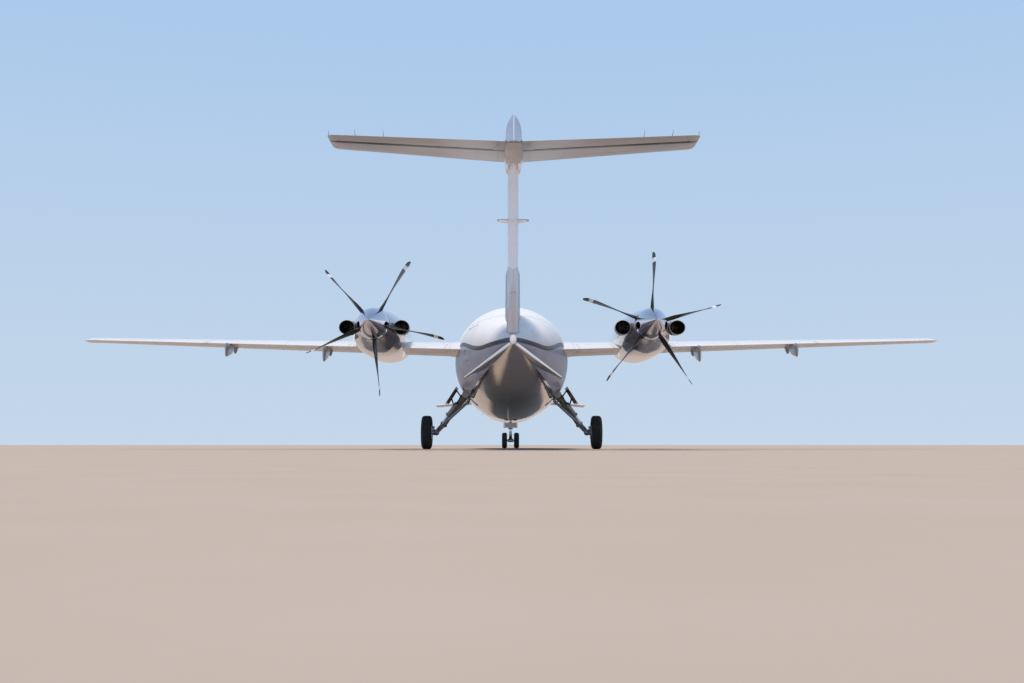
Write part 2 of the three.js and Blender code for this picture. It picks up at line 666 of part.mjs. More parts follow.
// Station, half width, top and bottom of the fairing on the fin's top.
const TOP_FAIRING = [
  [12020, 8, 3700, 3660],
  [12140, 50, 3760, 3590],
  [12400, 88, 3830, 3545],
  [12800, 104, 3880, 3545],
  [13300, 104, 3925, 3500],
  [13700, 92, 3960, 3560],
  [13960, 70, 3980, 3640],
];
const topFairingRing = ([station, half, top, bottom]) => [
  [0, 1], [0.32, 0.92], [0.66, 0.75], [0.92, 0.52], [1, 0.3], [0.85, 0],
  [-0.85, 0], [-1, 0.3], [-0.92, 0.52], [-0.66, 0.75], [-0.32, 0.92],
].map(([x, h]) => at(x * half, station, bottom + h * (top - bottom)));
const finAerial = loft([-1, 1].map((end) => [
  [0, 12130], [150, 12190], [210, 12290], [210, 12370], [150, 12400], [0, 12410],
  [-150, 12400], [-210, 12370], [-210, 12290], [-150, 12190],
].map(([x, s]) => at(x, s, 3000 + end * 6))));
const fin = largest(finAndRudder.fixed
  .add(finAerial)
  .add(loft(TOP_FAIRING.map(topFairingRing)).subtract(box(-300, 300, 12700, 13380, 3400, 3545)))
  .subtract(surface(TAILPLANE, GAP, 0))
  .subtract(fuselage(9000, TAIL_END, -GAP))
  .subtract(underFin));

// Tailplane with its two elevators
const TAIL_FRACTION = 0.7;
const tailSplit = split(
  halfSurface(TAILPLANE, 0, 0),
  hingePoint(TAILPLANE, 260, TAIL_FRACTION, 0),
  hingePoint(TAILPLANE, 2040, TAIL_FRACTION, 0),
);
const tailplane = tailSplit.fixed.add(tailSplit.fixed.mirror([1, 0, 0]));

// Ventral fins, which grow out of the tail cone
const ventralRing = (reach, s0, s1, thick) => {
  const slope = [0.801, -0.599];
  const normal = [0.599, 0.801];
  const front = s0 + (s1 - s0) * 0.2;
  return [[s0, 0], [front, 1], [s1 - 30, 1], [s1, 0.3], [s1, -0.3], [s1 - 30, -1], [front, -1]]
    .map(([s, side]) => at(
      20 + slope[0] * reach + normal[0] * side * thick,
      s,
      1385 + slope[1] * reach + normal[1] * side * thick,
    ));
};
const ventralFin = loft([
  ventralRing(0, 10990, 12500, 20),
  ventralRing(300, 10995, 12500, 18),
  ventralRing(745, 12170, 12500, 9),
  ventralRing(762, 12210, 12480, 4),
]);
const tailCone = fuselage(REAR_END, TAIL_END, 0).add(ventralFin).add(ventralFin.mirror([1, 0, 0]));

// Canard with its flaps
const canardSplit = split(
  halfSurface(CANARD, 0, 0), hingePoint(CANARD, 600, 0.72, 0), hingePoint(CANARD, 1590, 0.72, 0),
);
const canard = canardSplit.fixed.add(canardSplit.fixed.mirror([1, 0, 0]));

// Exhaust stacks: two bent pipes a side, joined by a collector inside the nacelle.
const STACK_X = 408;
const STACK_R = 100;
const STACK_WIDE = [0.92, 0.95, 1.05, 1.15, 1.2];
const stackRing = (side, k, radius) => {
  const grow = Math.max(0, radius - STACK_R);
  const points = [
    [150 - grow, 9480 - grow, 0], [280, 9560, 2], [378, 9700, 20], [STACK_X, 9850, 36], [STACK_X, 10040, 40],
  ];
  const before = points[Math.max(0, k - 1)];
  const after = points[Math.min(points.length - 1, k + 1)];
  const dx = after[0] - before[0];
  const ds = after[1] - before[1];
  const length = Math.hypot(dx, ds);
  return Array.from({ length: 10 }, (_, i) => {
    const angle = (i / 10) * 2 * Math.PI;
    const across = radius * STACK_WIDE[k] * Math.cos(angle);
    return at(
      PROP_X + side * (points[k][0] + (ds / length) * across),
      points[k][1] - (dx / length) * across,
      PROP_Z - points[k][2] + radius * 1.1 * Math.sin(angle),
    );
  });
};
const stack = (side, grow) => loft([0, 1, 2, 3, 4].map((k) => stackRing(side, k, STACK_R + grow)));
const collector = (grow) => bar(
  at(PROP_X - 190 - grow, 9480, PROP_Z), at(PROP_X + 190 + grow, 9480, PROP_Z), 88 + grow, 8,
);
const stackBore = (side) => {
  const rings = [2, 3, 4].map((k) => stackRing(side, k, STACK_R - 8));
  return loft([...rings, rings[2].map(([x, y, z]) => [x, y - 20, z])]);
};
const pipes = (grow) => stack(1, grow).add(stack(-1, grow)).add(collector(grow));
const exhaust = pipes(0).subtract(stackBore(1)).subtract(stackBore(-1));

// Nacelle shells and the engine blocks inside them
const nacelleLoft = (inset, from, to) => {
  const stations = NACELLE.map((row) => row[0]).filter((s) => s > from + 30 && s < to - 30);
  const used = inset ? stations.filter((_, i) => i % 2 === 1) : stations;
  return loft([from, ...used, to].map((s) => ovalRing(NACELLE, s, inset, inset ? 14 : 20, PROP_X)));
};
const intakeRing = (station) => ovalRing([[0, 1890, 1770, 1650, 205]], 0, 0, 12, PROP_X)
  .map(([x, , z]) => [x, NOSE_Y - station, z]);
const shaftHole = bar(at(PROP_X, 9990, PROP_Z), at(PROP_X, 10130, PROP_Z), 96, 12);
const nacelle = nacelleLoft(0, 6960, 10095)
  .subtract(nacelleLoft(NACELLE_WALL, 7030, 10070))
  .subtract(loft([intakeRing(6900), intakeRing(7060)]))
  .subtract(shaftHole)
  .subtract(wingGrown)
  .subtract(pipes(GAP));
const ENGINE_END = 9800;
const engineBlock = bar(at(PROP_X, ENGINE_END - 1780, PROP_Z), at(PROP_X, ENGINE_END, PROP_Z), 240, 14)
  .subtract(wingGrown)
  .subtract(pipes(GAP + 0.5));

// Propellers with five blades, and the cones over their hubs
const bladeRing = (turn) => ([r, chord, thickness, twist, sweep]) => {
  const angle = (turn * twist * Math.PI) / 180;
  return Array.from({ length: 6 }, (_, k) => {
    const a = (k / 6) * 2 * Math.PI;
    const u = sweep + (chord / 2) * Math.cos(a);
    const v = (thickness / 2) * Math.sin(a);
    return [v * Math.cos(angle) + u * Math.sin(angle), -u * Math.cos(angle) + v * Math.sin(angle), r];
  });
};
const aroundShaft = (phase, solid) => unite(
  Array.from({ length: BLADES }, (_, k) => solid.rotate([0, 90 - phase - (k * 360) / BLADES, 0])),
);
const SHAFT_R = 60;
const SHAFT_END = PROP_STATION - ENGINE_END - GAP;
const hubCore = (grow) => turned([
  [0, -95 - grow], [112 + grow, -95 - grow], [122 + grow, -40], [122 + grow, 40], [90 + grow, 102.4],
  [SHAFT_R + grow, 102.4], [SHAFT_R + grow, SHAFT_END], [0, SHAFT_END],
], 12, 'y', [0, 0, 0]);
const SPINNER = [
  [1, 0], [1, 60], [0.97, 150], [0.87, 270], [0.7, 400], [0.47, 530], [0.24, 640], [0.09, 705],
];
const spinnerCone = (inset, every, points) => turned([
  [0, -(SPINNER_TIP - SPINNER_START) + inset * 2],
  ...SPINNER.filter((_, i) => i % every === 0)
    .map(([r, h]) => [SPINNER_RADIUS * r - inset, -h + (h ? inset : -inset)])
    .reverse(),
  [0, -inset],
], points, 'y', at(0, SPINNER_START, 0));
const SHAFT_Y = NOSE_Y - PROP_STATION;
const spinner = (phase) => spinnerCone(0, 1, 18)
  .subtract(spinnerCone(8, 3, 9))
  .subtract(hubCore(GAP).translate([0, SHAFT_Y, 0]))
  .subtract(aroundShaft(phase, bar([0, 0, 130], [0, 0, 300], 66, 8)).translate([0, SHAFT_Y, 0]));
const propeller = (phase, turn) => hubCore(0).add(aroundShaft(phase, loft(BLADE.map(bladeRing(turn)))));

// Wheels
const tyre = (radius, width, bead, centre, points) => {
  const w = width / 2;
  const wall = radius - bead;
  const half = [[bead, 0.62], [bead + wall * 0.5, 1], [radius - wall * 0.12, 0.8], [radius, 0.45]];
  const low = half.map(([r, h]) => [r, -h * w]);
  const high = half.map(([r, h]) => [r, h * w]).reverse();
  return turned([...low, ...high, low[0]], points, 'x', centre);
};
const rim = (bead, width, bore, centre, points) => {
  const w = width / 2;
  const half = [[bore, 1], [bore + bead * 0.22, 1], [bead * 0.82, 0.45], [bead - GAP, 1]];
  const low = half.map(([r, h]) => [r, -h * w]);
  const high = half.map(([r, h]) => [r, h * w]).reverse();
  return turned(bore ? [...low, ...high, low[0]] : [...low, ...high], points, 'x', centre);
};
const MAIN_BEAD = 132;
const MAIN_AXLE_R = 26;
const MAIN_AXLE = at(TRACK_HALF, MAIN_STATION, MAIN_TYRE_R);

// Main legs: a splayed upper leg, a trailing arm with the axle on it, a sprung strut and a side stay.
const LEG_TOP = at(760, LEG_STATION, 905);
const KNEE = at(1150, 7560, 420);
const AXLE_START = at(1262, MAIN_STATION, MAIN_TYRE_R);
const mainLeg = unite([
  bar(LEG_TOP, KNEE, 62, 8, 44),
  bar(at(760, LEG_SLOT[0] + GAP, 905), at(760, LEG_SLOT[1] - GAP, 905), 62, 8),
  bar(KNEE, AXLE_START, 42, 8, 40),
  bar(at(1105, 7560, 420), at(1195, 7560, 420), 56, 8),
  bar(AXLE_START, at(TRACK_HALF + 62, MAIN_STATION, MAIN_TYRE_R), MAIN_AXLE_R, 12),
  bar(at(1225, MAIN_STATION, MAIN_TYRE_R), at(1318, MAIN_STATION, MAIN_TYRE_R), 46, 8),
  bar(at(905, 7900, 755), at(1065, 7800, 560), 44, 8),
  bar(at(1065, 7800, 560), at(1225, 7745, 330), 27, 8),
  bar(at(700, 8060, 800), at(1235, 7800, 330), 24, 6),
  bar(at(700, 8060, 800), at(760, 8060, 905), 24, 6),
]);

// Leg doors: flat plates outboard of the legs, held to them by two short links.
const doorPlate = loft([7560, 8260].map((s) => [
  at(902, s, 1020), at(912, s, 1026), at(1091, s, 745), at(1081, s, 739),
]));
const gearDoor = unite([
  doorPlate,
  bar(at(925, 7880, 985), at(818, 7891, 832), 12, 8),
  bar(at(1010, 7755, 855), at(955, 7755, 662), 12, 8),
]).subtract(bar(LEG_TOP, KNEE, 62 + GAP, 8, 44 + GAP));

// Nose gear: a fixed strut with its stay, then the steered fork with its axle, wheels and rims.
const STRUT_R = 46;
const NOSE_LEG_STATION = NOSE_STATION - 12;
const NOSE_BEAD = 66;
const strut = (grow) => bar(at(0, NOSE_LEG_STATION, 410), at(0, NOSE_LEG_STATION, 930), STRUT_R + grow, 14);
const noseStrut = strut(0).add(bar(at(0, 1500, 800), at(0, NOSE_LEG_STATION, 520), 20, 12))
  .add(bar(at(-NOSE_BAY[0] + GAP, 1500, 800), at(NOSE_BAY[0] - GAP, 1500, 800), 26, 12));
const noseFork = unite([
  bar(at(0, NOSE_LEG_STATION, 410 - GAP), at(0, NOSE_LEG_STATION, NOSE_TYRE_R), 33, 14),
  bar(at(-56, NOSE_STATION, NOSE_TYRE_R), at(56, NOSE_STATION, NOSE_TYRE_R), 40, 14),
  bar(at(0, NOSE_STATION + 30, 360), at(0, NOSE_STATION + 90, 270), 11, 6),
  bar(at(0, NOSE_STATION + 90, 270), at(0, NOSE_STATION + 20, 190), 11, 6),
]).subtract(bar(at(-80, NOSE_STATION, NOSE_TYRE_R), at(80, NOSE_STATION, NOSE_TYRE_R), 20.9, 16));
const noseTyre = tyre(
  NOSE_TYRE_R, NOSE_TYRE_W, NOSE_BEAD, at(NOSE_TYRE_X, NOSE_STATION, NOSE_TYRE_R), NOSE_WHEEL_POINTS,
);
const noseRim = (side) => rim(
  NOSE_BEAD, 90, 0, at(side * NOSE_TYRE_X, NOSE_STATION, NOSE_TYRE_R), NOSE_WHEEL_POINTS,
);
const noseRims = unite([
  noseRim(1), noseRim(-1),
  bar(at(-NOSE_TYRE_X, NOSE_STATION, NOSE_TYRE_R), at(NOSE_TYRE_X, NOSE_STATION, NOSE_TYRE_R), 20, 16),
]);
const doorLeaf = (side) => box(
  side * (NOSE_BAY[0] - 14), side * (NOSE_BAY[0] - GAP), NOSE_BAY[1] + 60, NOSE_BAY[2] - 40, 440, 720,
);
const noseDoors = unite([
  doorLeaf(1), doorLeaf(-1),
  bar(at(-NOSE_BAY[0] + 6, NOSE_BAY[1] + 90, 690), at(NOSE_BAY[0] - 6, NOSE_BAY[1] + 90, 690), 9, 10),
]);

piece('nose_cone', noseCone, ...WHITE);
piece('nose_section', noseSection.subtract(strut(GAP)), ...WHITE);
piece('cabin_shell', cabinShell, ...WHITE);
piece('rear_fuselage', rearFuselage, ...WHITE);
piece('tail_cone', tailCone, ...GREY);
piece('door_upper', upperDoor, ...WHITE);
piece('door_lower', lowerDoor, ...WHITE);
piece('baggage_door', baggageDoor, ...WHITE);
piece('cockpit_glass', cockpitPanes, ...GLASS);
piece('window_panes_right', cabinPanes(1), ...GLASS);
piece('window_panes_left', cabinPanes(-1), ...GLASS);
piece('cabin_floor', cabinFloor, ...DARK);
piece('seats', seats, ...SEAT);
piece('wing', wing, ...WHITE);
both('inner_flap', rightWing.inner, ...WHITE);
both('outer_flap', outerFlap, ...WHITE);
both('aileron', rightWing.aileron, ...WHITE);
both('nacelle', nacelle, ...WHITE);
both('engine', engineBlock, ...DARK);
both('exhaust', exhaust, ...DARK);
piece('canard', canard, ...WHITE);
both('canard_flap', canardSplit.moving, ...WHITE);
piece('fin', fin, ...WHITE);
piece('rudder', rudder, ...WHITE);
piece('tailplane', tailplane, ...WHITE);
both('elevator', tailSplit.moving, ...WHITE);
[['right', 1, STARBOARD_PHASE], ['left', -1, PORT_PHASE]].forEach(([side, sign, phase]) => {
  piece(`propeller_${side}`, propeller(phase, -sign).translate([sign * PROP_X, SHAFT_Y, PROP_Z]), ...DARK);
  piece(`spinner_${side}`, spinner(phase).translate([sign * PROP_X, 0, PROP_Z]), ...BRIGHT);
});
both('main_leg', mainLeg, ...DARK);
both('gear_door', gearDoor, ...WHITE);
both('main_tyre', tyre(MAIN_TYRE_R, MAIN_TYRE_W, MAIN_BEAD, MAIN_AXLE, WHEEL_POINTS), ...RUBBER);
both('main_rim', rim(MAIN_BEAD, 126, MAIN_AXLE_R + 0.9, MAIN_AXLE, WHEEL_POINTS), ...METAL);
piece('nose_strut', noseStrut, ...METAL);
piece('nose_fork', noseFork, ...METAL);
both('nose_tyre', noseTyre, ...RUBBER);
piece('nose_rims', noseRims, ...METAL);
piece('nose_gear_doors', noseDoors, ...WHITE);

export default group;
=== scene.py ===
import math
from functools import reduce

import bmesh
import bpy
from mathutils import Matrix, Vector


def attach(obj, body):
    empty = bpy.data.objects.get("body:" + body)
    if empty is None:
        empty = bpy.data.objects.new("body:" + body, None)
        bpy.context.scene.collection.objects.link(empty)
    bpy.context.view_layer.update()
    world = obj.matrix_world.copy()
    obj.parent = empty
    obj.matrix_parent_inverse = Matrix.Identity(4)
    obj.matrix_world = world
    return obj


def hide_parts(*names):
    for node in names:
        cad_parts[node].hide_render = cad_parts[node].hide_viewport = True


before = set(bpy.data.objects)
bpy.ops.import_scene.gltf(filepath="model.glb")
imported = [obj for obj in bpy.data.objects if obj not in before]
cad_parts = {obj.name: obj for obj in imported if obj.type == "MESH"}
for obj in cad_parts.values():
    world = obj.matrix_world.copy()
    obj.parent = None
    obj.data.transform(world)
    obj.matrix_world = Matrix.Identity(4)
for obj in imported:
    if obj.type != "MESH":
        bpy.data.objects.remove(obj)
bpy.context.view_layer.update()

# Where it stands: a pale floor with a soft warm tone, so that the glossy undersides pick it up the way they
# pick up concrete, and the camera low behind the tail at the height of the floor, looking slightly up.
EYE = (-0.081, -20.247, 0.071)
PITCH = math.radians(5.053)
YAW = math.radians(-0.255)
LENS = 41.12
SENSOR = 36.0
FLOOR_SIZE = 2000.0
SIGHT = 3000.0


def linked(name, data):
    """A new object of a mesh, camera or light, put into the scene."""
    made = bpy.data.objects.new(name, data)
    bpy.context.scene.collection.objects.link(made)
    return made


camera = bpy.data.cameras.new("view_from_behind")
camera.lens = LENS
camera.sensor_width = SENSOR
camera.clip_end = SIGHT
camera_object = linked("view_from_behind", camera)
camera_object.location = EYE
camera_object.rotation_euler = (math.pi / 2 + PITCH, 0.0, YAW)
bpy.context.scene.camera = camera_object


class Link:
    """An output of a shader's node, which takes part in sums as a number does."""

    def __init__(self, finish, socket):
        self.finish = finish
        self.socket = socket

    def maths(self, operation, first, second=0.0):
        return self.finish.node("ShaderNodeMath", {"operation": operation}, {0: first, 1: second})

    def __add__(self, other):
        return self.maths("ADD", self, other)

    __radd__ = __add__

    def __sub__(self, other):
        return self.maths("SUBTRACT", self, other)

    def __rsub__(self, other):
        return self.maths("SUBTRACT", other, self)

    def __mul__(self, other):
        return self.maths("MULTIPLY", self, other)

    __rmul__ = __mul__

    def __truediv__(self, other):
        return self.maths("DIVIDE", self, other)

    def __abs__(self):
        return self.maths("ABSOLUTE", self)

    def __mod__(self, step):
        return self.maths("FLOORED_MODULO", self, step)

    def __gt__(self, other):
        return self.maths("GREATER_THAN", self, other)

    def __lt__(self, other):
        return self.maths("LESS_THAN", self, other)

    def largest(self, other):
        return self.maths("MAXIMUM", self, other)

    def near(self, spots, half, aside=0.0):
        """1 closer than half to any of the spots, or to the lines that lie aside of each spot."""
        return reduce(Link.largest, [abs(abs(self - spot) - aside) < half for spot in spots])

    def ramp(self, low, high):
        """0 below low, 1 above high and smooth between them."""
        return self.finish.node(
            "ShaderNodeMapRange", {"interpolation_type": "SMOOTHSTEP"}, {0: self, 1: low, 2: high},
        )


class Finish:
    """A material built round one principled shader."""

    def __init__(self, name, **surface):
        self.material = bpy.data.materials.new(name)
        self.material.use_nodes = True
        self.tree = self.material.node_tree
        self.shader = self.tree.nodes["Principled BSDF"]
        self.place = self.node("ShaderNodeTexCoord", output="Object")
        self.surface(**surface)

    def node(self, kind, settings=None, inputs=None, output=0):
        made = self.tree.nodes.new(kind)
        for name, value in (settings or {}).items():
            setattr(made, name, value)
        for name, value in (inputs or {}).items():
            self.feed(made.inputs[name], value)
        return Link(self, made.outputs[output])

    def feed(self, socket, value):
        if isinstance(value, Link):
            self.tree.links.new(value.socket, socket)
        elif isinstance(value, tuple) and len(value) == 3 and socket.type == "RGBA":
            socket.default_value = (*value, 1.0)
        else:
            socket.default_value = value

    def surface(self, **sockets):
        for name, value in sockets.items():
            self.feed(self.shader.inputs[name.replace("_", " ")], value)
        return self

    def axes(self):
        """Sideways, forwards and upwards places on the surface, in metres."""
        return [self.node("ShaderNodeSeparateXYZ", None, {0: self.place}, axis) for axis in "XYZ"]

    def noise(self, scale, detail=3.0, stretch=(1.0, 1.0, 1.0)):
        place = self.node("ShaderNodeVectorMath", {"operation": "MULTIPLY"}, {0: self.place, 1: stretch})
        return self.node("ShaderNodeTexNoise", None, {"Vector": place, "Scale": scale, "Detail": detail})

    def mix(self, share, first, second):
        """A colour between two, by share of the second."""
        made = self.tree.nodes.new("ShaderNodeMix")
        made.data_type = "RGBA"
        self.feed(made.inputs["Factor"], share)
        self.feed(made.inputs[6], first)
        self.feed(made.inputs[7], second)
        return Link(self, made.outputs[2])

    def layers(self, tone, *coats):
        """A tone under further coats, each given as its share and its colour."""
        for share, colour in coats:
            tone = self.mix(share, tone, colour)
        return tone

    def bump(self, height, distance, strength=1.0):
        normal = self.node("ShaderNodeBump", None, {"Height": height, "Distance": distance, "Strength": strength})
        return self.surface(Normal=normal)

    def mottled(self, dark, light, noise, dent, rough=None):
        """Two tones in one grain, which also dents the surface and may add to its roughness."""
        grain = self.noise(*noise)
        if rough:
            self.surface(Roughness=grain * rough[1] + rough[0])
        self.surface(Base_Color=self.mix(grain, dark, light))
        return self.bump(grain, *dent)


floor_finish = Finish("pale_floor", Roughness=0.9, Specular_IOR_Level=0.0)
grain = floor_finish.noise(3.0, 6.0)
floor_finish.surface(Base_Color=floor_finish.mix(grain, (0.45, 0.365, 0.305), (0.5, 0.41, 0.35)))
floor_mesh = bpy.data.meshes.new("floor")
half_floor = FLOOR_SIZE / 2
floor_mesh.from_pydata(
    [(x * half_floor, y * half_floor, 0) for x, y in ((-1, -1), (1, -1), (1, 1), (-1, 1))], [], [(0, 1, 2, 3)],
)
floor_mesh.materials.append(floor_finish.material)
floor = linked("floor", floor_mesh)

# The light is a soft bright sky and one broad warm sun high behind on the left, so that white paint stays
# white above and the undersides pick up the floor.
SKY = (
    # height over the horizon, colour
    (0.0, (0.56, 0.68, 0.82)),
    (0.36, (0.40, 0.58, 0.83)),
    (0.8, (0.3, 0.4, 0.62)),
)
bpy.context.scene.view_settings.view_transform = "Standard"
world = bpy.data.worlds.new("soft_sky")
world.use_nodes = True
bpy.context.scene.world = world
sky = world.node_tree
sight_line = sky.nodes.new("ShaderNodeTexCoord")
sight_parts = sky.nodes.new("ShaderNodeSeparateXYZ")
sky.links.new(sight_line.outputs["Generated"], sight_parts.inputs[0])
sky_ramp = sky.nodes.new("ShaderNodeValToRGB")
sky_ramp.color_ramp.elements.new(0.5)
for stop, (position, colour) in zip(sky_ramp.color_ramp.elements, SKY):
    stop.position = position
    stop.color = (*colour, 1.0)
sky.links.new(sight_parts.outputs["Z"], sky_ramp.inputs[0])
sky.links.new(sky_ramp.outputs[0], sky.nodes["Background"].inputs["Color"])
sky.nodes["Background"].inputs["Strength"].default_value = 1.0

SUN_FROM = (-5.0, -12.0, 27.0)
sun = bpy.data.lights.new("soft_sun", "SUN")
sun.energy = 3.1
sun.angle = math.radians(12.0)
sun.color = (1.0, 0.9, 0.76)
sun_object = linked("soft_sun", sun)
sun_object.rotation_euler = (-Vector(SUN_FROM)).to_track_quat("-Z", "Y").to_euler()

# Fuselage: thin metal skin on frames, drawn out to a soft nose and a long tail cone. It is painted white over
# a dark metallic belly, with a dark line where the two paints meet that rises from the nose to the wing.
NOSE_AT = 7.205
SKIN_POINTS = 96
CABIN_WALL = 0.05
REAR_WALL = 0.022
TAIL_END = 12.53
FUSELAGE = [
    # station, top, waist, bottom, half width
    (0.0, 1.046, 1.040, 1.034, 0.006),
    (0.03, 1.090, 1.040, 0.993, 0.048),
    (0.09, 1.133, 1.041, 0.956, 0.088),
    (0.2, 1.190, 1.045, 0.910, 0.143),
    (0.4, 1.278, 1.058, 0.850, 0.219),
    (0.7, 1.391, 1.080, 0.780, 0.312),
    (1.1, 1.513, 1.110, 0.703, 0.417),
    (1.55, 1.630, 1.150, 0.640, 0.524),
    (2.0, 1.742, 1.200, 0.590, 0.620),
    (2.25, 1.842, 1.235, 0.565, 0.669),
    (2.5, 1.975, 1.272, 0.545, 0.715),
    (2.75, 2.109, 1.310, 0.530, 0.757),
    (3.0, 2.220, 1.345, 0.518, 0.795),
    (3.5, 2.364, 1.402, 0.503, 0.859),
    (4.0, 2.432, 1.440, 0.495, 0.906),
    (5.0, 2.469, 1.475, 0.490, 0.962),
    (6.0, 2.470, 1.480, 0.490, 0.975),
    (7.0, 2.452, 1.480, 0.494, 0.974),
    (7.75, 2.389, 1.478, 0.520, 0.946),
    (8.5, 2.301, 1.475, 0.580, 0.893),
    (9.25, 2.198, 1.470, 0.680, 0.814),
    (10.0, 2.074, 1.462, 0.818, 0.695),
    (10.75, 1.928, 1.450, 0.978, 0.541),
    (11.4, 1.781, 1.435, 1.122, 0.387),
    (11.9, 1.653, 1.420, 1.233, 0.253),
    (12.3, 1.531, 1.406, 1.313, 0.128),
    (TAIL_END, 1.432, 1.396, 1.360, 0.036),
]


def at(side, station, height):
    """A point from its distance to starboard, its station behind the nose and its height."""
    return Vector((side, NOSE_AT - station, height))


def smooth_row(table, place):
    """The columns of a table at one place, on curves through its rows that never overshoot them."""
    last = len(table) - 2
    i = min(last, max(0, sum(row[0] <= place for row in table) - 1))

    def slope(k, column):
        return (table[k + 1][column] - table[k][column]) / (table[k + 1][0] - table[k][0])

    def tangent(k, column):
        before = slope(max(0, k - 1), column)
        after = slope(min(last, k), column)
        return 2 * before * after / (before + after) if before * after > 0 else 0.0

    width = table[i + 1][0] - table[i][0]
    t = (place - table[i][0]) / width
    row = []
    for column in range(1, len(table[0])):
        low, high = table[i][column], table[i + 1][column]
        rise = low + (high - low) * t * t * (3 - 2 * t)
        rise += tangent(i, column) * width * t * (1 - t) ** 2 - tangent(i + 1, column) * width * t * t * (1 - t)
        row.append(rise)
    return row


def straight_row(table, place):
    """The columns of a table at one place, on straight lines between its rows."""
    i = min(len(table) - 2, max(0, sum(row[0] <= place for row in table) - 1))
    t = (place - table[i][0]) / (table[i + 1][0] - table[i][0])
    return [low + (high - low) * t for low, high in zip(table[i][1:], table[i + 1][1:])]


def circle(points):
    """The cosine and sine of equal turns round a circle."""
    turns = [2 * math.pi * k / points for k in range(points)]
    return [(math.cos(turn), math.sin(turn)) for turn in turns]


def oval(table, station, inset=0.0, points=SKIN_POINTS, side=0.0):
    """A ring across the plane, half an oval over the waist and half an oval under it."""
    top, waist, bottom, half = smooth_row(table, station)
    ring = []
    for reach, rise in circle(points):
        tall = (top - waist if rise > 0 else waist - bottom) - inset
        ring.append(at(side + reach * (half - inset), station, waist + rise * tall))
    return ring


def ovals(name, table, stations, inset=0.0, points=SKIN_POINTS, side=0.0):
    return loft(name, [oval(table, station, inset, points, side) for station in stations])


def spread(first, last, count):
    return [first + (last - first) * k / count for k in range(count + 1)]


def shape_piece(name, points, faces):
    """A new piece from points and faces, with every face turned outwards."""
    shape = bpy.data.meshes.new(name)
    shape.from_pydata([tuple(point) for point in points], [], faces)
    work = bmesh.new()
    work.from_mesh(shape)
    bmesh.ops.recalc_face_normals(work, faces=work.faces)
    work.to_mesh(shape)
    work.free()
    return linked(name, shape)


def loft(name, rings):
    """A closed piece through rings of the same number of points."""
    count = len(rings[0])
    total = count * len(rings)
    faces = [tuple(range(count)), tuple(range(total - count, total))]
    for start in range(0, total - count, count):
        for j in range(count):
            k = (j + 1) % count
            faces.append((start + j, start + k, start + count + k, start + count + j))
    return shape_piece(name, [point for ring in rings for point in ring], faces)


def carve(piece, tool, operation="DIFFERENCE"):
    """Takes the tool's shape out of a piece, or joins the two or keeps what they share."""
    change = piece.modifiers.new("carve", "BOOLEAN")
    change.operation = operation
    change.solver = "MANIFOLD"
    change.object = tool
    graph = bpy.context.evaluated_depsgraph_get()
    shape = bpy.data.meshes.new_from_object(piece.evaluated_get(graph))
    piece.modifiers.clear()
    piece.data = shape
    bpy.data.objects.remove(tool)
    return piece


def copy_of(piece, name):
    return linked(name, piece.data.copy())


def worked(name, work):
    """A new piece from a finished working mesh."""
    shape = bpy.data.meshes.new(name)
    work.to_mesh(shape)
    work.free()
    return linked(name, shape)


def joined(name, parts):
    """Several parts as one piece, each part left whole."""
    work = bmesh.new()
    for part in parts:
        work.from_mesh(part.data)
        bpy.data.objects.remove(part)
    return worked(name, work)


def block(name, low, high):
    """A box between two corners, each given as a sideways distance, a station and a height."""
    return loft(name, [
        [at(x, s, z) for x, s in ((low[0], low[1]), (high[0], low[1]), (high[0], high[1]), (low[0], high[1]))]
        for z in (low[2], high[2])
    ])


SHARP = 32.0


def fit(piece, finish, body, stands_for=(), sharp=SHARP):
    """Gives a piece its finish and the body that it moves with, and hides what it stands for."""
    piece.data.materials.clear()
    piece.data.materials.append(finish.material)
    piece.data.shade_smooth()
    piece.data.set_sharp_from_angle(angle=math.radians(sharp))
    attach(piece, body)
    if stands_for:
        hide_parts(*stands_for)


NOSE_BAY = ((-0.15, 1.35, 0.4), (0.15, 2.06, 0.86))
LEG_SLOTS = (((0.56, 7.8, 0.7), (0.9, 8.13, 1.015)), ((-0.9, 7.8, 0.7), (-0.56, 8.13, 1.015)))
hull_stations = [0.7 * (k / 28) ** 2 for k in range(28)] + spread(0.7, 12.4, 117) + [12.45, 12.5, TAIL_END]
hull = ovals("fuselage_skin", FUSELAGE, hull_stations)
carve(hull, ovals("cabin_room", FUSELAGE, spread(2.25, 7.59, 50), CABIN_WALL))
carve(hull, ovals("rear_room", FUSELAGE, spread(7.47, 10.86, 34), REAR_WALL))
hollow_hull = copy_of(hull, "hollow_hull")
for corners in (NOSE_BAY, *LEG_SLOTS):
    carve(hull, block("room", *corners))

hull_paint = Finish("hull_paint", Coat_Roughness=0.02)
x, y, z = hull_paint.axes()
station = NOSE_AT - y
seam_height = (
    0.95 + 0.41 * station.ramp(0.5, 4.5) + 0.26 * station.ramp(7.3, 9.2) - 0.2 * station.ramp(9.2, 11.3)
)
over_seam = z - seam_height
DARK_LINE_HALF = 0.032
white_share = over_seam.ramp(-0.004, 0.004)
dark_line = abs(over_seam) < DARK_LINE_HALF
PANEL_STATIONS = (0.7, 2.09, 3.1, 4.1, 5.25, 6.4, 7.53, 8.45, 9.4, 10.35, 10.9, 11.7)
PANEL_HEIGHTS = (0.83, 1.93)
RIVET_PITCH = 0.034
panel_line = station.near(PANEL_STATIONS, 0.0025).largest(z.near(PANEL_HEIGHTS, 0.002))
rivet_row = station.near(PANEL_STATIONS, 0.0035, 0.02).largest(z.near(PANEL_HEIGHTS, 0.003, 0.018))
round_place = x.maths("ARCTAN2", z - 1.47, x)
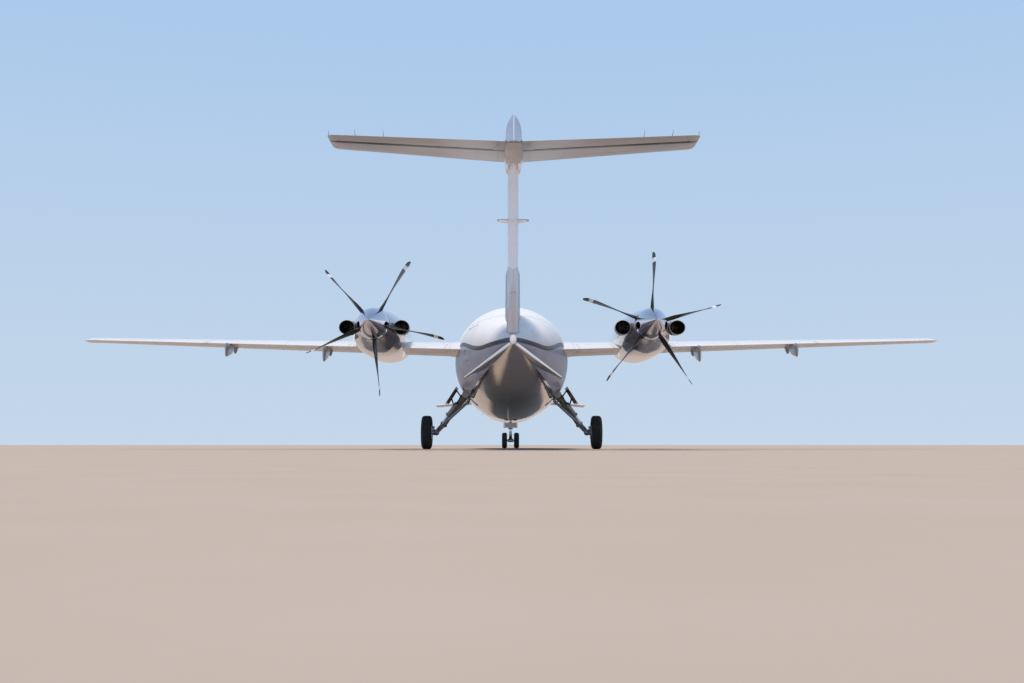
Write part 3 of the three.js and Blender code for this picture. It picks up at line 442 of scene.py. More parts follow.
rivets = rivet_row * (abs((round_place * 0.9 + station) % RIVET_PITCH - RIVET_PITCH / 2) < 0.0035)
cloud = hull_paint.noise(1.3, 4.0)
grime = hull_paint.noise(6.0, 8.0, (1.0, 0.12, 1.0)).ramp(0.5, 0.8)
# painted reflection: between the ventral line and the seam the belly is painted a matt blue-grey that stands in for
# the sky it mirrors
painted_sky_band = (z - 1.4 + abs(x) * 0.748).ramp(-0.004, 0.004) * station.ramp(2.5, 4.5)
white_tone = hull_paint.layers(
    hull_paint.mix(cloud, (0.86, 0.83, 0.82), (0.93, 0.9, 0.88)),
    # painted shade: the white turns a cool grey towards the seam, where the lower side turns away from the light
    ((0.42 - over_seam).ramp(0.0, 0.42) * 0.4, (0.4, 0.4, 0.44)),
)
belly_tone = hull_paint.layers(
    hull_paint.mix(cloud, (0.58, 0.53, 0.5), (0.66, 0.61, 0.57)),
    # painted shade: below 0.98 m the belly is darkened, standing in for the plane's shadow on the floor that it
    # mirrors
    ((0.98 - z).ramp(0.0, 0.3), (0.13, 0.12, 0.12)), (painted_sky_band, (0.27, 0.31, 0.43)),
)
painted = hull_paint.layers(
    belly_tone, (white_share, white_tone), (dark_line, (0.012, 0.014, 0.03)), (grime * 0.12, (0.2, 0.18, 0.16)),
    (panel_line * 0.8, (0.05, 0.05, 0.055)), (rivets * 0.35, (0.25, 0.25, 0.26)),
)
hull_paint.surface(
    Base_Color=painted,
    Metallic=(1.0 - white_share) * (1.0 - dark_line) * (0.88 - painted_sky_band * 0.78),
    Roughness=0.09 + grime * 0.1 + white_share * 0.26 + painted_sky_band * (1.0 - white_share) * 0.4,
    Coat_Weight=(1.0 - white_share * 0.75) * (1.0 - painted_sky_band * 0.8),
)
hull_paint.bump(1.0 - panel_line - rivets * 0.5, 0.0015)

# Cabin windows and cockpit glazing: stretched acrylic panes laid flush in the skin, each held in a dark
# rubber seal. Behind them the wall's thickness shows as a pale reveal.
WINDOW_STATIONS = (4.27, 4.83, 5.39, 5.95, 6.51, 7.07)
WINDOW_WIDTH = 0.33
WINDOW_HEIGHTS = (1.47, 1.83)
WINDOW_CORNER = 0.095
SEAL_WIDTH = 0.013
SIDE_WINDOW = [(2.9, 1.76), (3.21, 1.77), (3.235, 2.06), (3.12, 2.1), (2.96, 1.985)]  # stations and heights
SIDE_CORNER = 0.045
WINDSCREEN = [(0.026, 2.11), (0.026, 2.64), (0.56, 2.86), (0.612, 2.7), (0.47, 2.33)]  # sideways, stations
SCREEN_CORNER = 0.05
SEAL_OUTER, SEAL_INNER = 0.0015, 0.02  # depths under the skin's surface
PANE_OUTER, PANE_INNER = 0.004, 0.014
SNUG = 0.0006


def rounded(outline, radius, shrink=0.0, steps=6):
    """An outline with its sides moved inwards and its corners rounded."""
    area = sum(a[0] * b[1] - b[0] * a[1] for a, b in zip(outline, outline[1:] + outline[:1]))
    path = [Vector(point) for point in (outline if area > 0 else outline[::-1])]
    made = []
    for before, corner, after in zip(path[-1:] + path[:-1], path, path[1:] + path[:1]):
        into, out = (corner - before).normalized(), (after - corner).normalized()
        left_in, left_out = Vector((-into.y, into.x)), Vector((-out.y, out.x))
        share = 1 + left_in.dot(left_out)
        corner = corner + (left_in + left_out) * (shrink / share)
        inner = max(radius - shrink, 0.002)
        turn = math.atan2(into.x * out.y - into.y * out.x, into.dot(out))
        if turn <= 0:
            made.append(tuple(corner))
            continue
        start = corner - into * inner * math.tan(turn / 2)
        centre = start + left_in * inner
        for k in range(steps + 1):
            angle = math.atan2(-left_in.y, -left_in.x) + turn * k / steps
            made.append((centre.x + inner * math.cos(angle), centre.y + inner * math.sin(angle)))
    return made


def rectangle(stations, heights):
    (front, rear), (low, high) = stations, heights
    return [(front, low), (rear, low), (rear, high), (front, high)]


def side_prism(name, outline, x0, x1):
    """A prism across the plane over an outline of stations and heights."""
    return loft(name, [[at(x, s, z) for s, z in outline] for x in (x0, x1)])


def window_tools(shrink):
    """The shapes that cut all the windows, with their sides moved inwards."""
    tools = []
    for side in (1, -1):
        for s in WINDOW_STATIONS:
            outline = rounded(rectangle((s, s + WINDOW_WIDTH), WINDOW_HEIGHTS), WINDOW_CORNER, shrink)
            tools.append(side_prism("window", outline, side * 0.5, side * 1.1))
        outline = rounded(SIDE_WINDOW, SIDE_CORNER, shrink)
        tools.append(side_prism("side_window", outline, side * 0.42, side * 1.1))
        outline = rounded([(side * x, s) for x, s in WINDSCREEN], SCREEN_CORNER, shrink)
        tools.append(loft("windscreen", [[at(x, s, z) for x, s in outline] for z in (1.69, 2.6)]))
    return joined("window_tools", tools)


def skin_layer(outer, inner):
    """A layer of the cabin's skin between two depths."""
    layer = ovals("layer", FUSELAGE, spread(2.0, 7.5, 55), outer)
    return carve(layer, ovals("layer_room", FUSELAGE, spread(1.99, 7.51, 55), inner))


carve(hull, window_tools(0.0))
fit(hull, hull_paint, "airframe",
    ["nose_cone", "nose_section", "cabin_shell", "rear_fuselage", "tail_cone"])

seal_rubber = Finish("seal_rubber", Roughness=0.6)
seal_rubber.mottled((0.012, 0.012, 0.013), (0.035, 0.035, 0.037), (60.0, 4.0), (0.001, 0.4))
seals = skin_layer(SEAL_OUTER, SEAL_INNER)
seal_shape = window_tools(SNUG)
carve(seal_shape, window_tools(SEAL_WIDTH))
carve(seals, seal_shape, "INTERSECT")
fit(seals, seal_rubber, "airframe")

tinted_acrylic = Finish("tinted_acrylic", Coat_Weight=1.0, Coat_Roughness=0.02, IOR=1.49)
x, y, z = tinted_acrylic.axes()
haze = tinted_acrylic.noise(4.0, 5.0)
edge_tint = (z - 1.45).ramp(0.0, 1.0)
tinted_acrylic.surface(
    Base_Color=tinted_acrylic.mix(edge_tint, (0.012, 0.016, 0.022), (0.02, 0.028, 0.036)),
    Roughness=haze * 0.05 + 0.03, Alpha=0.8 - edge_tint * 0.1 + haze * 0.06,
)
panes = skin_layer(PANE_OUTER, PANE_INNER)
carve(panes, window_tools(SEAL_WIDTH - SNUG), "INTERSECT")
fit(panes, tinted_acrylic, "airframe",
    ["cockpit_glass", "window_panes_right", "window_panes_left"])

# Passenger door on the port side: an upper leaf that swings up and a lower leaf that swings down and carries
# the steps. Each is cut from the skin and hangs on a steel rod between two lugs outside the edge.
DOOR_SPLIT = 1.33
DOOR_GAP = 0.006
HINGE_ROD = 0.009
HINGE_PROUD = 0.004
HINGE_ROOM = 0.006
STRAP_HALF, STRAP_WIDE = 0.007, 0.01
LUG_HALF, LUG_WIDE = 0.014, 0.006


def skin_half(station, height):
    """Half width of the skin between its frames."""
    top, waist, bottom, half = straight_row(FUSELAGE, station)
    rise = (height - waist) / (top - waist if height > waist else waist - bottom)
    return half * math.sqrt(1 - rise * rise)


def round_ring(centre, across, up, radius, points):
    return [centre + (across * cosine + up * sine) * radius for cosine, sine in circle(points)]


def rod(name, start, end, radius, end_radius=None, points=24):
    """A straight round bar between two points."""
    start, end = Vector(start), Vector(end)
    line = (end - start).normalized()
    across = line.orthogonal().normalized()
    up = line.cross(across)
    ends = ((start, radius), (end, radius if end_radius is None else end_radius))
    return loft(name, [round_ring(place, across, up, size, points) for place, size in ends])


class PortDoor:
    """An opening in the port side, turned to lie along the skin, with its hinge outside one edge."""

    def __init__(self, front, rear, low, high, corner, hinge, rise):
        self.front, self.rear, self.low, self.high, self.corner = front, rear, low, high, corner
        self.hinge, self.rise = hinge, rise
        middle = (front + rear) / 2
        self.edge = -skin_half(middle, (low + high) / 2)
        slant = math.atan2(skin_half(front, hinge) - skin_half(rear, hinge), rear - front)
        pivot = at(self.edge, middle, 0)
        self.turn = Matrix.Translation(pivot) @ Matrix.Rotation(slant, 4, "Z") @ Matrix.Translation(-pivot)
        self.hinge_x = -skin_half(middle, hinge) - HINGE_PROUD

    def turned(self, piece):
        piece.data.transform(self.turn)
        return piece

    def outline(self, grow):
        return rounded(rectangle((self.front, self.rear), (self.low, self.high)), self.corner, -grow)

    def prism(self, grow):
        return self.turned(side_prism("door_prism", self.outline(grow), self.edge - 0.15, self.edge + 0.45))

    def hinge_rod(self, extra, reach):
        ends = [at(self.hinge_x, s, self.hinge) for s in (self.front - reach, self.rear + reach)]
        return self.turned(rod("hinge_rod", *ends, HINGE_ROD + extra))

    def arms(self):
        """Two bent straps that hold the door to its hinge rod."""
        x, foot = self.hinge_x, self.hinge + self.rise
        low, high = sorted((self.hinge, foot))
        parts = []
        for s in (self.front + 0.04, self.rear - 0.04):
            front, rear = s - STRAP_WIDE, s + STRAP_WIDE
            parts.append(block("arm", (x - STRAP_HALF, front, foot - 0.008), (x + 0.05, rear, foot + 0.008)))
            parts.append(block("arm", (x - STRAP_HALF, front, low), (x + STRAP_HALF, rear, high)))
        return [self.turned(part) for part in parts]

    def lugs(self):
        x, z = self.hinge_x, self.hinge
        return [
            self.turned(block(
                "lug", (x - LUG_HALF, s - LUG_WIDE, z - LUG_HALF), (x + 0.06, s + LUG_WIDE, z + LUG_HALF),
            ))
            for s in (self.front - 0.015, self.rear + 0.015)
        ]


STRAP_RISE = 0.024
high_door = PortDoor(3.33, 3.94, 0.69, 1.95, 0.045, 1.95, -STRAP_RISE)
low_door = PortDoor(3.33, 3.94, 0.69, 1.95, 0.045, 0.69, STRAP_RISE)
luggage_door = PortDoor(9.56, 10.24, 1.33, 1.85, 0.06, 1.85, -STRAP_RISE)
doors = (high_door, low_door, luggage_door)


def half_space(name, height, above):
    low, high = (height, height + 3.0) if above else (height - 3.0, height)
    return block(name, (-1.5, 2.5, low), (0.5, 5.0, high))


def opening(door, height=None, above=True):
    tool = door.prism(DOOR_GAP)
    return tool if height is None else carve(tool, half_space("side", height, above), "INTERSECT")


for tool in (
    opening(high_door, DOOR_SPLIT - 0.001, True), opening(low_door, DOOR_SPLIT, False), opening(luggage_door),
    *(door.hinge_rod(HINGE_ROOM, HINGE_ROOM) for door in doors),
):
    carve(hull, tool)
hull.data.set_sharp_from_angle(angle=math.radians(SHARP))

hinge_steel = Finish("hinge_steel", Metallic=0.9)
hinge_steel.mottled(
    (0.32, 0.33, 0.34), (0.5, 0.51, 0.52), (90.0, 4.0, (1.0, 0.1, 1.0)), (0.0006, 0.3), rough=(0.25, 0.2),
)
fit(joined("door_lugs", [lug for door in doors for lug in door.lugs()]), hull_paint, "airframe")

upper_leaf = carve(copy_of(hollow_hull, "door_upper_leaf"), high_door.prism(0.0), "INTERSECT")
carve(upper_leaf, half_space("above", DOOR_SPLIT + DOOR_GAP / 2, True), "INTERSECT")
lower_leaf = carve(copy_of(hollow_hull, "door_lower_leaf"), low_door.prism(0.0), "INTERSECT")
carve(lower_leaf, half_space("below", DOOR_SPLIT - DOOR_GAP / 2, False), "INTERSECT")
luggage_leaf = carve(copy_of(hollow_hull, "luggage_door_leaf"), luggage_door.prism(0.0), "INTERSECT")
bpy.data.objects.remove(hollow_hull)


DISH_RADIUS, DISH_DEPTH = 0.05, 0.011
HANDLE_REACH, HANDLE_ROD = 0.056, 0.0065


def flush_handle(leaf, door, height):
    """Presses a shallow dish into a door and gives back the bar that lies across it."""
    s = (door.front + door.rear) / 2
    x = -skin_half(s, height)
    carve(leaf, door.turned(rod("dish", at(x - 0.05, s, height), at(x + DISH_DEPTH, s, height), DISH_RADIUS)))
    ends = [at(x + 0.004, s + reach, height) for reach in (-HANDLE_REACH, HANDLE_REACH)]
    return door.turned(rod(leaf.name.replace("leaf", "handle"), *ends, HANDLE_ROD))


for leaf, door, body, handle_height in (
    (upper_leaf, high_door, "door_upper", 1.45),
    (lower_leaf, low_door, "door_lower", 1.22),
    (luggage_leaf, luggage_door, "baggage_door", 1.45),
):
    handle = flush_handle(leaf, door, handle_height)
    hinge = joined(leaf.name.replace("leaf", "hinge"), [door.hinge_rod(0.0, 0.022)] + door.arms())
    fit(leaf, hull_paint, body, [body])
    fit(hinge, hull_paint, body)
    fit(handle, hinge_steel, body)

step_tread = Finish("step_tread", Roughness=0.7)
x, y, z = step_tread.axes()
RIB_PITCH = 0.012
ribs = (y % RIB_PITCH - RIB_PITCH / 2).ramp(-0.002, 0.002)
step_tread.surface(Base_Color=step_tread.mix(ribs, (0.05, 0.05, 0.052), (0.1, 0.1, 0.104)))
step_tread.bump(ribs, 0.002)
STEP_HEIGHTS = (0.86, 1.08)
steps = []
for height in STEP_HEIGHTS:
    inner = -skin_half(3.63, height) + CABIN_WALL
    steps.append(block("tread", (inner - 0.01, 3.41, height), (inner + 0.13, 3.86, height + 0.022)))
    for s in (3.41, 3.838):
        steps.append(block("bracket", (inner - 0.01, s, height - 0.1), (inner + 0.05, s + 0.022, height)))
fit(low_door.turned(joined("door_steps", steps)), step_tread, "door_lower")

# Cabin floor, rear bulkhead and instrument panel: the plain solids keep their shape and get carpet, a pale
# lining and dark panel plastic. On the panel sit three screens under a hood, two yokes and two levers.
FLOOR_HEIGHT = 0.7
PANEL_FACE = 2.56


def dress(node, finish):
    """Gives a plain solid, which stays as it is, a finish."""
    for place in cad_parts[node].material_slots:
        place.material = finish.material


cabin_lining = Finish("cabin_lining")
x, y, z = cabin_lining.axes()
station = NOSE_AT - y
tufts = cabin_lining.noise(420.0, 3.0)
forward = (station < 2.62) * (z > FLOOR_HEIGHT + 0.01)
bulkhead = (station > 7.44) * (z > FLOOR_HEIGHT + 0.002)
carpet = cabin_lining.mix(tufts, (0.16, 0.14, 0.12), (0.3, 0.27, 0.23))
cabin_lining.surface(
    Base_Color=cabin_lining.layers(carpet, (forward, (0.035, 0.036, 0.038)), (bulkhead, (0.62, 0.57, 0.49))),
    Roughness=0.95 - forward * 0.4 - bulkhead * 0.35,
)
cabin_lining.bump(tufts * (1.0 - forward) * (1.0 - bulkhead), 0.004)
dress("cabin_floor", cabin_lining)

panel_plastic = Finish("panel_plastic", Roughness=0.5)
x, y, z = panel_plastic.axes()
pebble = panel_plastic.noise(500.0, 2.0)
SCREEN_PITCH, KNOB_PITCH, KNOB_ROWS = 0.34, 0.04, 0.035
screen = (z > 1.36) * (z < 1.56) * (abs(x % SCREEN_PITCH - SCREEN_PITCH / 2) < 0.145)
screen = screen * (abs(x) < 1.5 * SCREEN_PITCH) * ((NOSE_AT - y) > PANEL_FACE + 0.008)
knob_rows = (abs(x % KNOB_PITCH - KNOB_PITCH / 2) < 0.009) * (abs(z % KNOB_ROWS - KNOB_ROWS / 2) < 0.007)
knob_rows = knob_rows * (1.0 - screen)
knob_rows = knob_rows * (z < 1.35) * (z > 1.2) * (abs(x) < 0.48)
panel_tone = panel_plastic.mix(pebble, (0.03, 0.031, 0.033), (0.055, 0.056, 0.058))
panel_tone = panel_plastic.layers(panel_tone, (knob_rows, (0.3, 0.3, 0.29)), (screen, (0.008, 0.012, 0.02)))
panel_plastic.surface(Base_Color=panel_tone, Roughness=0.55 - screen * 0.47)
panel_plastic.bump(pebble * (1.0 - screen) + knob_rows * 4.0, 0.001)
FASCIA = [(0.0, 1.19), (0.012, 1.19), (0.012, 1.6), (0.11, 1.62), (0.1, 1.645), (0.0, 1.65)]
panel_parts = [side_prism("panel_fascia", [(PANEL_FACE + back, z) for back, z in FASCIA], -0.58, 0.58)]
YOKE_AT = PANEL_FACE + 0.2
for side in (-0.3, 0.3):
    panel_parts.append(rod("column", at(side, PANEL_FACE, 1.22), at(side, YOKE_AT, 1.25), 0.016))
    for reach in (-0.13, 0.13):
        knuckle = side + reach
        panel_parts.append(rod("horn", at(side, YOKE_AT, 1.25), at(knuckle, YOKE_AT + 0.01, 1.27), 0.014))
        top = at(knuckle + reach / 13, YOKE_AT, 1.37)
        panel_parts.append(rod("grip", at(knuckle, YOKE_AT + 0.01, 1.26), top, 0.015))
for side in (-0.035, 0.035):
    panel_parts.append(rod("lever", at(side, 2.59, 1.2), at(side, 2.67, 1.33), 0.008))
    panel_parts.append(rod("lever_knob", at(side - 0.02, 2.67, 1.33), at(side + 0.02, 2.67, 1.33), 0.016))
fit(joined("instrument_panel", panel_parts), panel_plastic, "airframe")

# Seats: eight armchairs in stitched pale leather over moulded shells, bolted to the floor rails. The front
# pair face forwards for the crew, the next pair face aft and the last two pairs face forwards.
SEAT_PLACES = [
    (side * x, station, facing)
    for x, station, facing in ((0.3, 3.12, 1), (0.42, 4.75, -1), (0.42, 5.8, 1), (0.42, 6.85, 1))
    for side in (-1, 1)
]
seat_leather = Finish("seat_leather")
creases = seat_leather.noise(38.0, 6.0)
pores = seat_leather.noise(700.0, 2.0)
worn = seat_leather.noise(5.0, 3.0).ramp(0.45, 0.7)
leather_tone = seat_leather.mix(creases, (0.5, 0.43, 0.34), (0.66, 0.58, 0.47))
seat_leather.surface(
    Base_Color=seat_leather.mix(worn * 0.35, leather_tone, (0.42, 0.36, 0.28)), Roughness=0.42 + creases * 0.2,
)
seat_leather.bump(creases * 0.6 + pores * 0.25, 0.0025)
seat_shell = Finish("seat_shell", Roughness=0.45)
seat_shell.mottled((0.3, 0.27, 0.23), (0.4, 0.36, 0.31), (14.0, 6.0), (0.001, 0.3))


ROUNDING, PULL, CROWN, SEAM_DEPTH = 0.06, 0.05, 0.16, 0.13


def cushion(name, size, place, channels=2, cells=14):
    """A stuffed pad: crowned, with its sides pulled in between the corners and sewn channels across it."""
    work = bmesh.new()
    bmesh.ops.create_cube(work, size=2.0)
    bmesh.ops.subdivide_edges(work, edges=work.edges, cuts=cells, use_grid_fill=True)
    for vertex in work.verts:
        u, v, w = vertex.co
        round_off = (
            1 - ROUNDING * (v * v + w * w), 1 - ROUNDING * (u * u + w * w), 1 - 0.3 * max(u * u, v * v) ** 3,
        )
        pull = 1 - PULL * (1 - u * u) * (v * v) - PULL * (1 - v * v) * (u * u)
        crown = 1 + CROWN * (1 - u * u) * (1 - v * v)
        sewn = 1.0
        for k in range(channels):
            seam = -1 + 2 * (k + 1) / (channels + 1)
            sewn -= SEAM_DEPTH * math.exp(-((v - seam) / 0.05) ** 2) * (w > 0)
        local = Vector((u * round_off[0] * pull, v * round_off[1] * pull, w * round_off[2] * crown * sewn))
        vertex.co = place @ (local * Vector(size) / 2)
    work.normal_update()
    bmesh.ops.recalc_face_normals(work, faces=work.faces)
    return worked(name, work)


LEAN = math.radians(17.0)
BACK_TILT = math.pi / 2 + LEAN
PADS = (
    # size, distance back and height over the floor, tilt, channels
    ((0.45, 0.47, 0.15), -0.005, 0.345, 0.0, 2),
    ((0.42, 0.5, 0.12), 0.278, 0.67, BACK_TILT, 3),
    ((0.27, 0.17, 0.1), 0.372, 0.985, BACK_TILT, 0),
)
SHELLS = (((0.46, 0.46, 0.08), 0.0, 0.245, 0.0, 0), ((0.45, 0.66, 0.05), 0.345, 0.68, BACK_TILT, 0))
ARM_REST = (0.06, 0.3, 0.05)
shells = []
for number, (side, station, facing) in enumerate(SEAT_PLACES, 1):
    home = Matrix.Translation(at(side, station, FLOOR_HEIGHT)) @ Matrix.Diagonal((1, -facing, 1, 1))

    def pad(size, back, height, tilt, channels, cells=14, x=0.0):
        place = home @ Matrix.Translation((x, back, height)) @ Matrix.Rotation(-tilt, 4, "X")
        return cushion("pad", size, place, channels, cells)

    pads = [pad(*row) for row in PADS]
    if station > 4:
        pads += [pad(ARM_REST, 0.0, 0.5, 0.0, 0, 6, arm) for arm in (-0.2, 0.2)]
    foot = (side - 0.08, station - 0.18, FLOOR_HEIGHT + 0.02)
    head = (side + 0.08, station + 0.18, FLOOR_HEIGHT + 0.24)
    shells += [pad(*row, cells=6) for row in SHELLS] + [block("pedestal", foot, head)]
    made = joined(f"seat_{number}_cushions", pads)
    fit(made, seat_leather, "airframe", ["seats"], sharp=60)
for rail in (-0.46, -0.36, 0.34, 0.44):
    shells.append(block("rail", (rail, 2.94, FLOOR_HEIGHT + 0.0008), (rail + 0.02, 7.15, FLOOR_HEIGHT + 0.02)))
fit(joined("seat_shells", shells), seat_shell, "airframe", ["seats"])

# Main wing: one riveted metal box from tip to tip through the fuselage, with polished leading edges and white
# paint. Ailerons and flaps are cut from the same section and turn on hinges inside it.
CAMBER = 0.012
INCIDENCE = 0.058
WING = [
    # distance out, leading edge station, chord, height, thickness
    (0.0, 7.54, 1.82, 1.53, 0.138),
    (6.88, 7.86, 0.643, 1.77, 0.122),
    (6.965, 7.885, 0.515, 1.773, 0.125),
    (6.998, 7.93, 0.38, 1.7744, 0.128),
    (7.015, 7.985, 0.215, 1.775, 0.14),
]
FLAP_HINGE, AILERON_HINGE = 0.72, 0.75  # shares of the chord
CONTROLS = {
    # inner and outer end, hinge
    "inner_flap": (1.03, 1.57, FLAP_HINGE),
    "outer_flap": (2.56, 4.88, FLAP_HINGE),
    "aileron": (4.93, 6.74, AILERON_HINGE),
}
HINGE_GAP = 0.005
NOSE_INSET = 0.0015
END_GAP = 0.006


def foil_half(x, thickness):
    """Half thickness of a wing's section at a share of its chord."""
    return 5 * thickness * (
        0.2969 * math.sqrt(x) - 0.126 * x - 0.3516 * x**2 + 0.2843 * x**3 - 0.1036 * x**4
    ) + 0.0022 * x


def middle_line(x, camber):
    """Height of a section's middle at a share of its chord. A cambered section is also set nose up."""
    return 4 * camber * x * (1 - x) + INCIDENCE * (1 - x) if camber else 0.0


def foil(thickness, camber, count=28):
    """Outline of a wing's section in shares of its chord, from the nose along the top and back."""
    stops = [(1 - math.cos(math.pi * k / count)) / 2 for k in range(count + 1)]
    top = [(x, middle_line(x, camber) + foil_half(x, thickness)) for x in stops]
    under = [(x, middle_line(x, camber) - foil_half(x, thickness)) for x in reversed(stops[1:])]
    return top + under


def surface_ring(table, out, camber):
    edge, chord, height, thickness = straight_row(table, out)
    return [at(out, edge + x * chord, height + h * chord) for x, h in foil(thickness, camber)]


def half_surface(name, table, camber, cells=24):
    outs = spread(table[0][0], table[1][0], cells) + [row[0] for row in table[2:]]
    return loft(name, [surface_ring(table, out, camber) for out in outs])


def hinge_at(table, out, fraction, camber):
    """A point on a control's hinge, and how thick the section is there to each side."""
    edge, chord, height, thickness = straight_row(table, out)
    mean = middle_line(fraction, camber)
    return at(out, edge + fraction * chord, height + mean * chord), foil_half(fraction, thickness) * chord


def split(whole, name, hinge_start, hinge_end):
    """Cuts a control out of a surface. Its nose is round about the hinge, in a hollow of the fixed part."""
    (start, start_half), (end, end_half) = hinge_start, hinge_end
    line = (end - start).normalized()
    length = (end - start).length
    aft = (Vector((0, -1, 0)) + line * line.y).normalized()
    up = line.cross(aft)

    def corner(along, back, rise):
        return start + line * along + aft * back + up * rise

    def reach(inset, extra):
        """Everything behind the hinge, with the round nose in front of it."""
        behind = loft("behind", [
            [corner(along, back, rise) for back, rise in ((0, -0.6), (2, -0.6), (2, 0.6), (0, 0.6))]
            for along in (inset, length - inset)
        ])
        nose = rod(
            "nose", corner(inset, 0, 0), corner(length - inset, 0, 0),
            start_half - NOSE_INSET + extra, end_half - NOSE_INSET + extra, 40,
        )
        return carve(behind, nose, "UNION")

    moving = carve(copy_of(whole, name), reach(END_GAP / 2, 0.0), "INTERSECT")
    carve(whole, reach(-END_GAP / 2, HINGE_GAP))
    return moving


def mirrored(piece, name):
    """The same piece on the other side of the plane."""
    twin = copy_of(piece, name)
    twin.data.transform(Matrix.Diagonal((-1, 1, 1, 1)))
    twin.data.flip_normals()
    return twin


def both_sides(name, half):
    """A starboard half and its mirror image as one piece."""
    return joined(name, [half, mirrored(half, "port_half")])


def fit_both(piece, finish, body, stands_for=()):
    """Fits a starboard piece and its mirror image; right in their names becomes left."""
    names = [piece.name, body, *stands_for]
    left_name, left_body, *left_nodes = [name.replace("_right", "_left") for name in names]
    twin = mirrored(piece, left_name)
    fit(piece, finish, body, stands_for)
    fit(twin, finish, left_body, left_nodes)


SEAM = 0.002
FASTENER = 0.0028
FASTENER_PITCH = 0.03
HINGE_SHADOW_HALF = 0.028


def airframe_paint(name, high, across, along, edge=None, under=None, hinge=None):
    """White paint with grey seams at places across and along the surface, and a polished front edge.

    The underside is painted a duller grey than the top as painted shade, and a hinge can be marked by a dark band of
    painted shadow in its gap."""
    made = Finish(name, Coat_Weight=0.25, Coat_Roughness=0.05, Specular_IOR_Level=0.35)
    x, y, z = made.axes()
    out, station = abs(x), NOSE_AT - y

    def behind(start, end):
        """How far a place lies behind the line from one station at the middle to another at the tip."""
        return station - (out * ((end - start) / high) + start)

    def spaced(place):
        return abs(place % FASTENER_PITCH - FASTENER_PITCH / 2) < FASTENER

    seams = out.near(across, SEAM)
    fasteners = out.near(across, FASTENER, 0.018) * spaced(y)
    for line in along:
        seams = seams.largest(abs(behind(*line)) < SEAM)
        fasteners = fasteners.largest((abs(behind(*line) - 0.02) < FASTENER) * spaced(x))
    cloud = made.noise(2.2, 4.0)
    streak = made.noise(9.0, 6.0, (1.0, 0.08, 1.0)).ramp(0.52, 0.85)
    coats = [(streak * 0.16, (0.35, 0.32, 0.28))]
    if under:
        # painted shade: under the section's middle line the paint takes the duller underside tone
        centre, outwards, back, underside_shade_tone = under
        coats.insert(0, ((out * outwards + station * back + centre - z).ramp(-0.002, 0.002), underside_shade_tone))
    # painted shadow: a dark band along the hinge line stands in for the shade in the gap in front of the control
    if hinge:
        coats.append(((abs(behind(*hinge)) < HINGE_SHADOW_HALF) * 0.95, (0.02, 0.02, 0.025)))
    coats += [(seams * 0.7, (0.12, 0.12, 0.125)), (fasteners * 0.35, (0.3, 0.3, 0.31))]
    if edge:
        bright = behind(edge[0], edge[1]) < edge[2]
        coats.append((bright, made.mix(cloud, (0.62, 0.63, 0.65), (0.78, 0.79, 0.8))))
        made.surface(Metallic=bright)
    tone = made.layers(made.mix(cloud, (0.74, 0.72, 0.72), (0.81, 0.79, 0.785)), *coats)
    made.surface(Base_Color=tone, Roughness=0.34 + streak * 0.14)
    made.bump(1.0 - seams - fasteners * 0.4, 0.0012)
    return made


wing_paint = airframe_paint(
    "wing_paint", 6.88, (0.98, 1.62, 2.5, 3.6, 4.905, 6.78), ((7.83, 7.96), (8.6, 8.24)), (7.54, 7.86, 0.07),
    # the under tone is painted shade on the wing's underside
    under=(2.073, 0.0277, -0.058, (0.6, 0.555, 0.53)),
)
starboard = half_surface("starboard_wing", WING, CAMBER)
for key, (first, last, fraction) in CONTROLS.items():
    ends = [hinge_at(WING, out, fraction, CAMBER) for out in (first, last)]
    control = split(starboard, f"{key}_skin_right", *ends)
    fit_both(control, wing_paint, f"{key}_right", [f"{key}_right"])
fit(both_sides("wing_skin", starboard), wing_paint, "airframe", ["wing"])

# Root fairings: thin metal collars, pressed to shape and painted with the wing, that ease its skin into the
# fuselage. They swell towards the fuselage and end thin on the wing.
ROOT_STEPS = 12
ROOT_EDGE, ROOT_SWELL = 0.004, 0.05
root_rings = []
for k, out in enumerate(spread(0.72, 1.0, ROOT_STEPS)):
    edge, chord, height, thickness = straight_row(WING, out)
    swell = ROOT_EDGE + ROOT_SWELL * (1 - k / ROOT_STEPS) ** 2
    middle = edge + chord * 0.42
    ring = []
    for share, h in foil(thickness, CAMBER):
        station = edge + share * chord
        push = swell if share < 0.7 else swell * (1 - share) / 0.3
        away = 1 if h > middle_line(share, CAMBER) else -1
        ring.append(at(out, station + (station - middle) * swell * 0.5, height + h * chord + away * push))
    root_rings.append(ring)
root_fairings = both_sides("wing_root_fairings", loft("root_fairing", root_rings))
fit(root_fairings, wing_paint, "airframe")

# Flap track fairings: two grey moulded canoes under each outer flap, which ride down with it. The front of
# each is fixed under the wing.
CANOES = ((2.95, 1.0, 1.0), (4.52, 0.9, 0.85))  # distance out, length and depth as shares of the largest
CANOE = [
    # distance behind the hinge, top and bottom over it, half width
    (0.034, -0.006, -0.070, 0.014),
    (0.07, -0.008, -0.160, 0.023),
    (0.12, -0.010, -0.203, 0.027),
    (0.23, -0.018, -0.238, 0.030),
    (0.36, -0.024, -0.268, 0.031),
    (0.47, -0.026, -0.290, 0.029),
    (0.54, -0.040, -0.299, 0.022),
    (0.575, -0.090, -0.285, 0.009),
]
CANOE_FRONT = [
    # the same columns for the part fixed under the wing
    (-0.37, -0.030, -0.040, 0.006),
    (-0.31, -0.020, -0.085, 0.018),
    (-0.24, -0.020, -0.125, 0.026),
    (-0.15, -0.020, -0.160, 0.030),
]
moulded_grey = Finish("moulded_grey", Metallic=0.3, Coat_Weight=0.6, Coat_Roughness=0.06)
moulded_grey.mottled((0.17, 0.17, 0.185), (0.3, 0.3, 0.315), (7.0, 6.0), (0.0008, 0.3), rough=(0.28, 0.15))


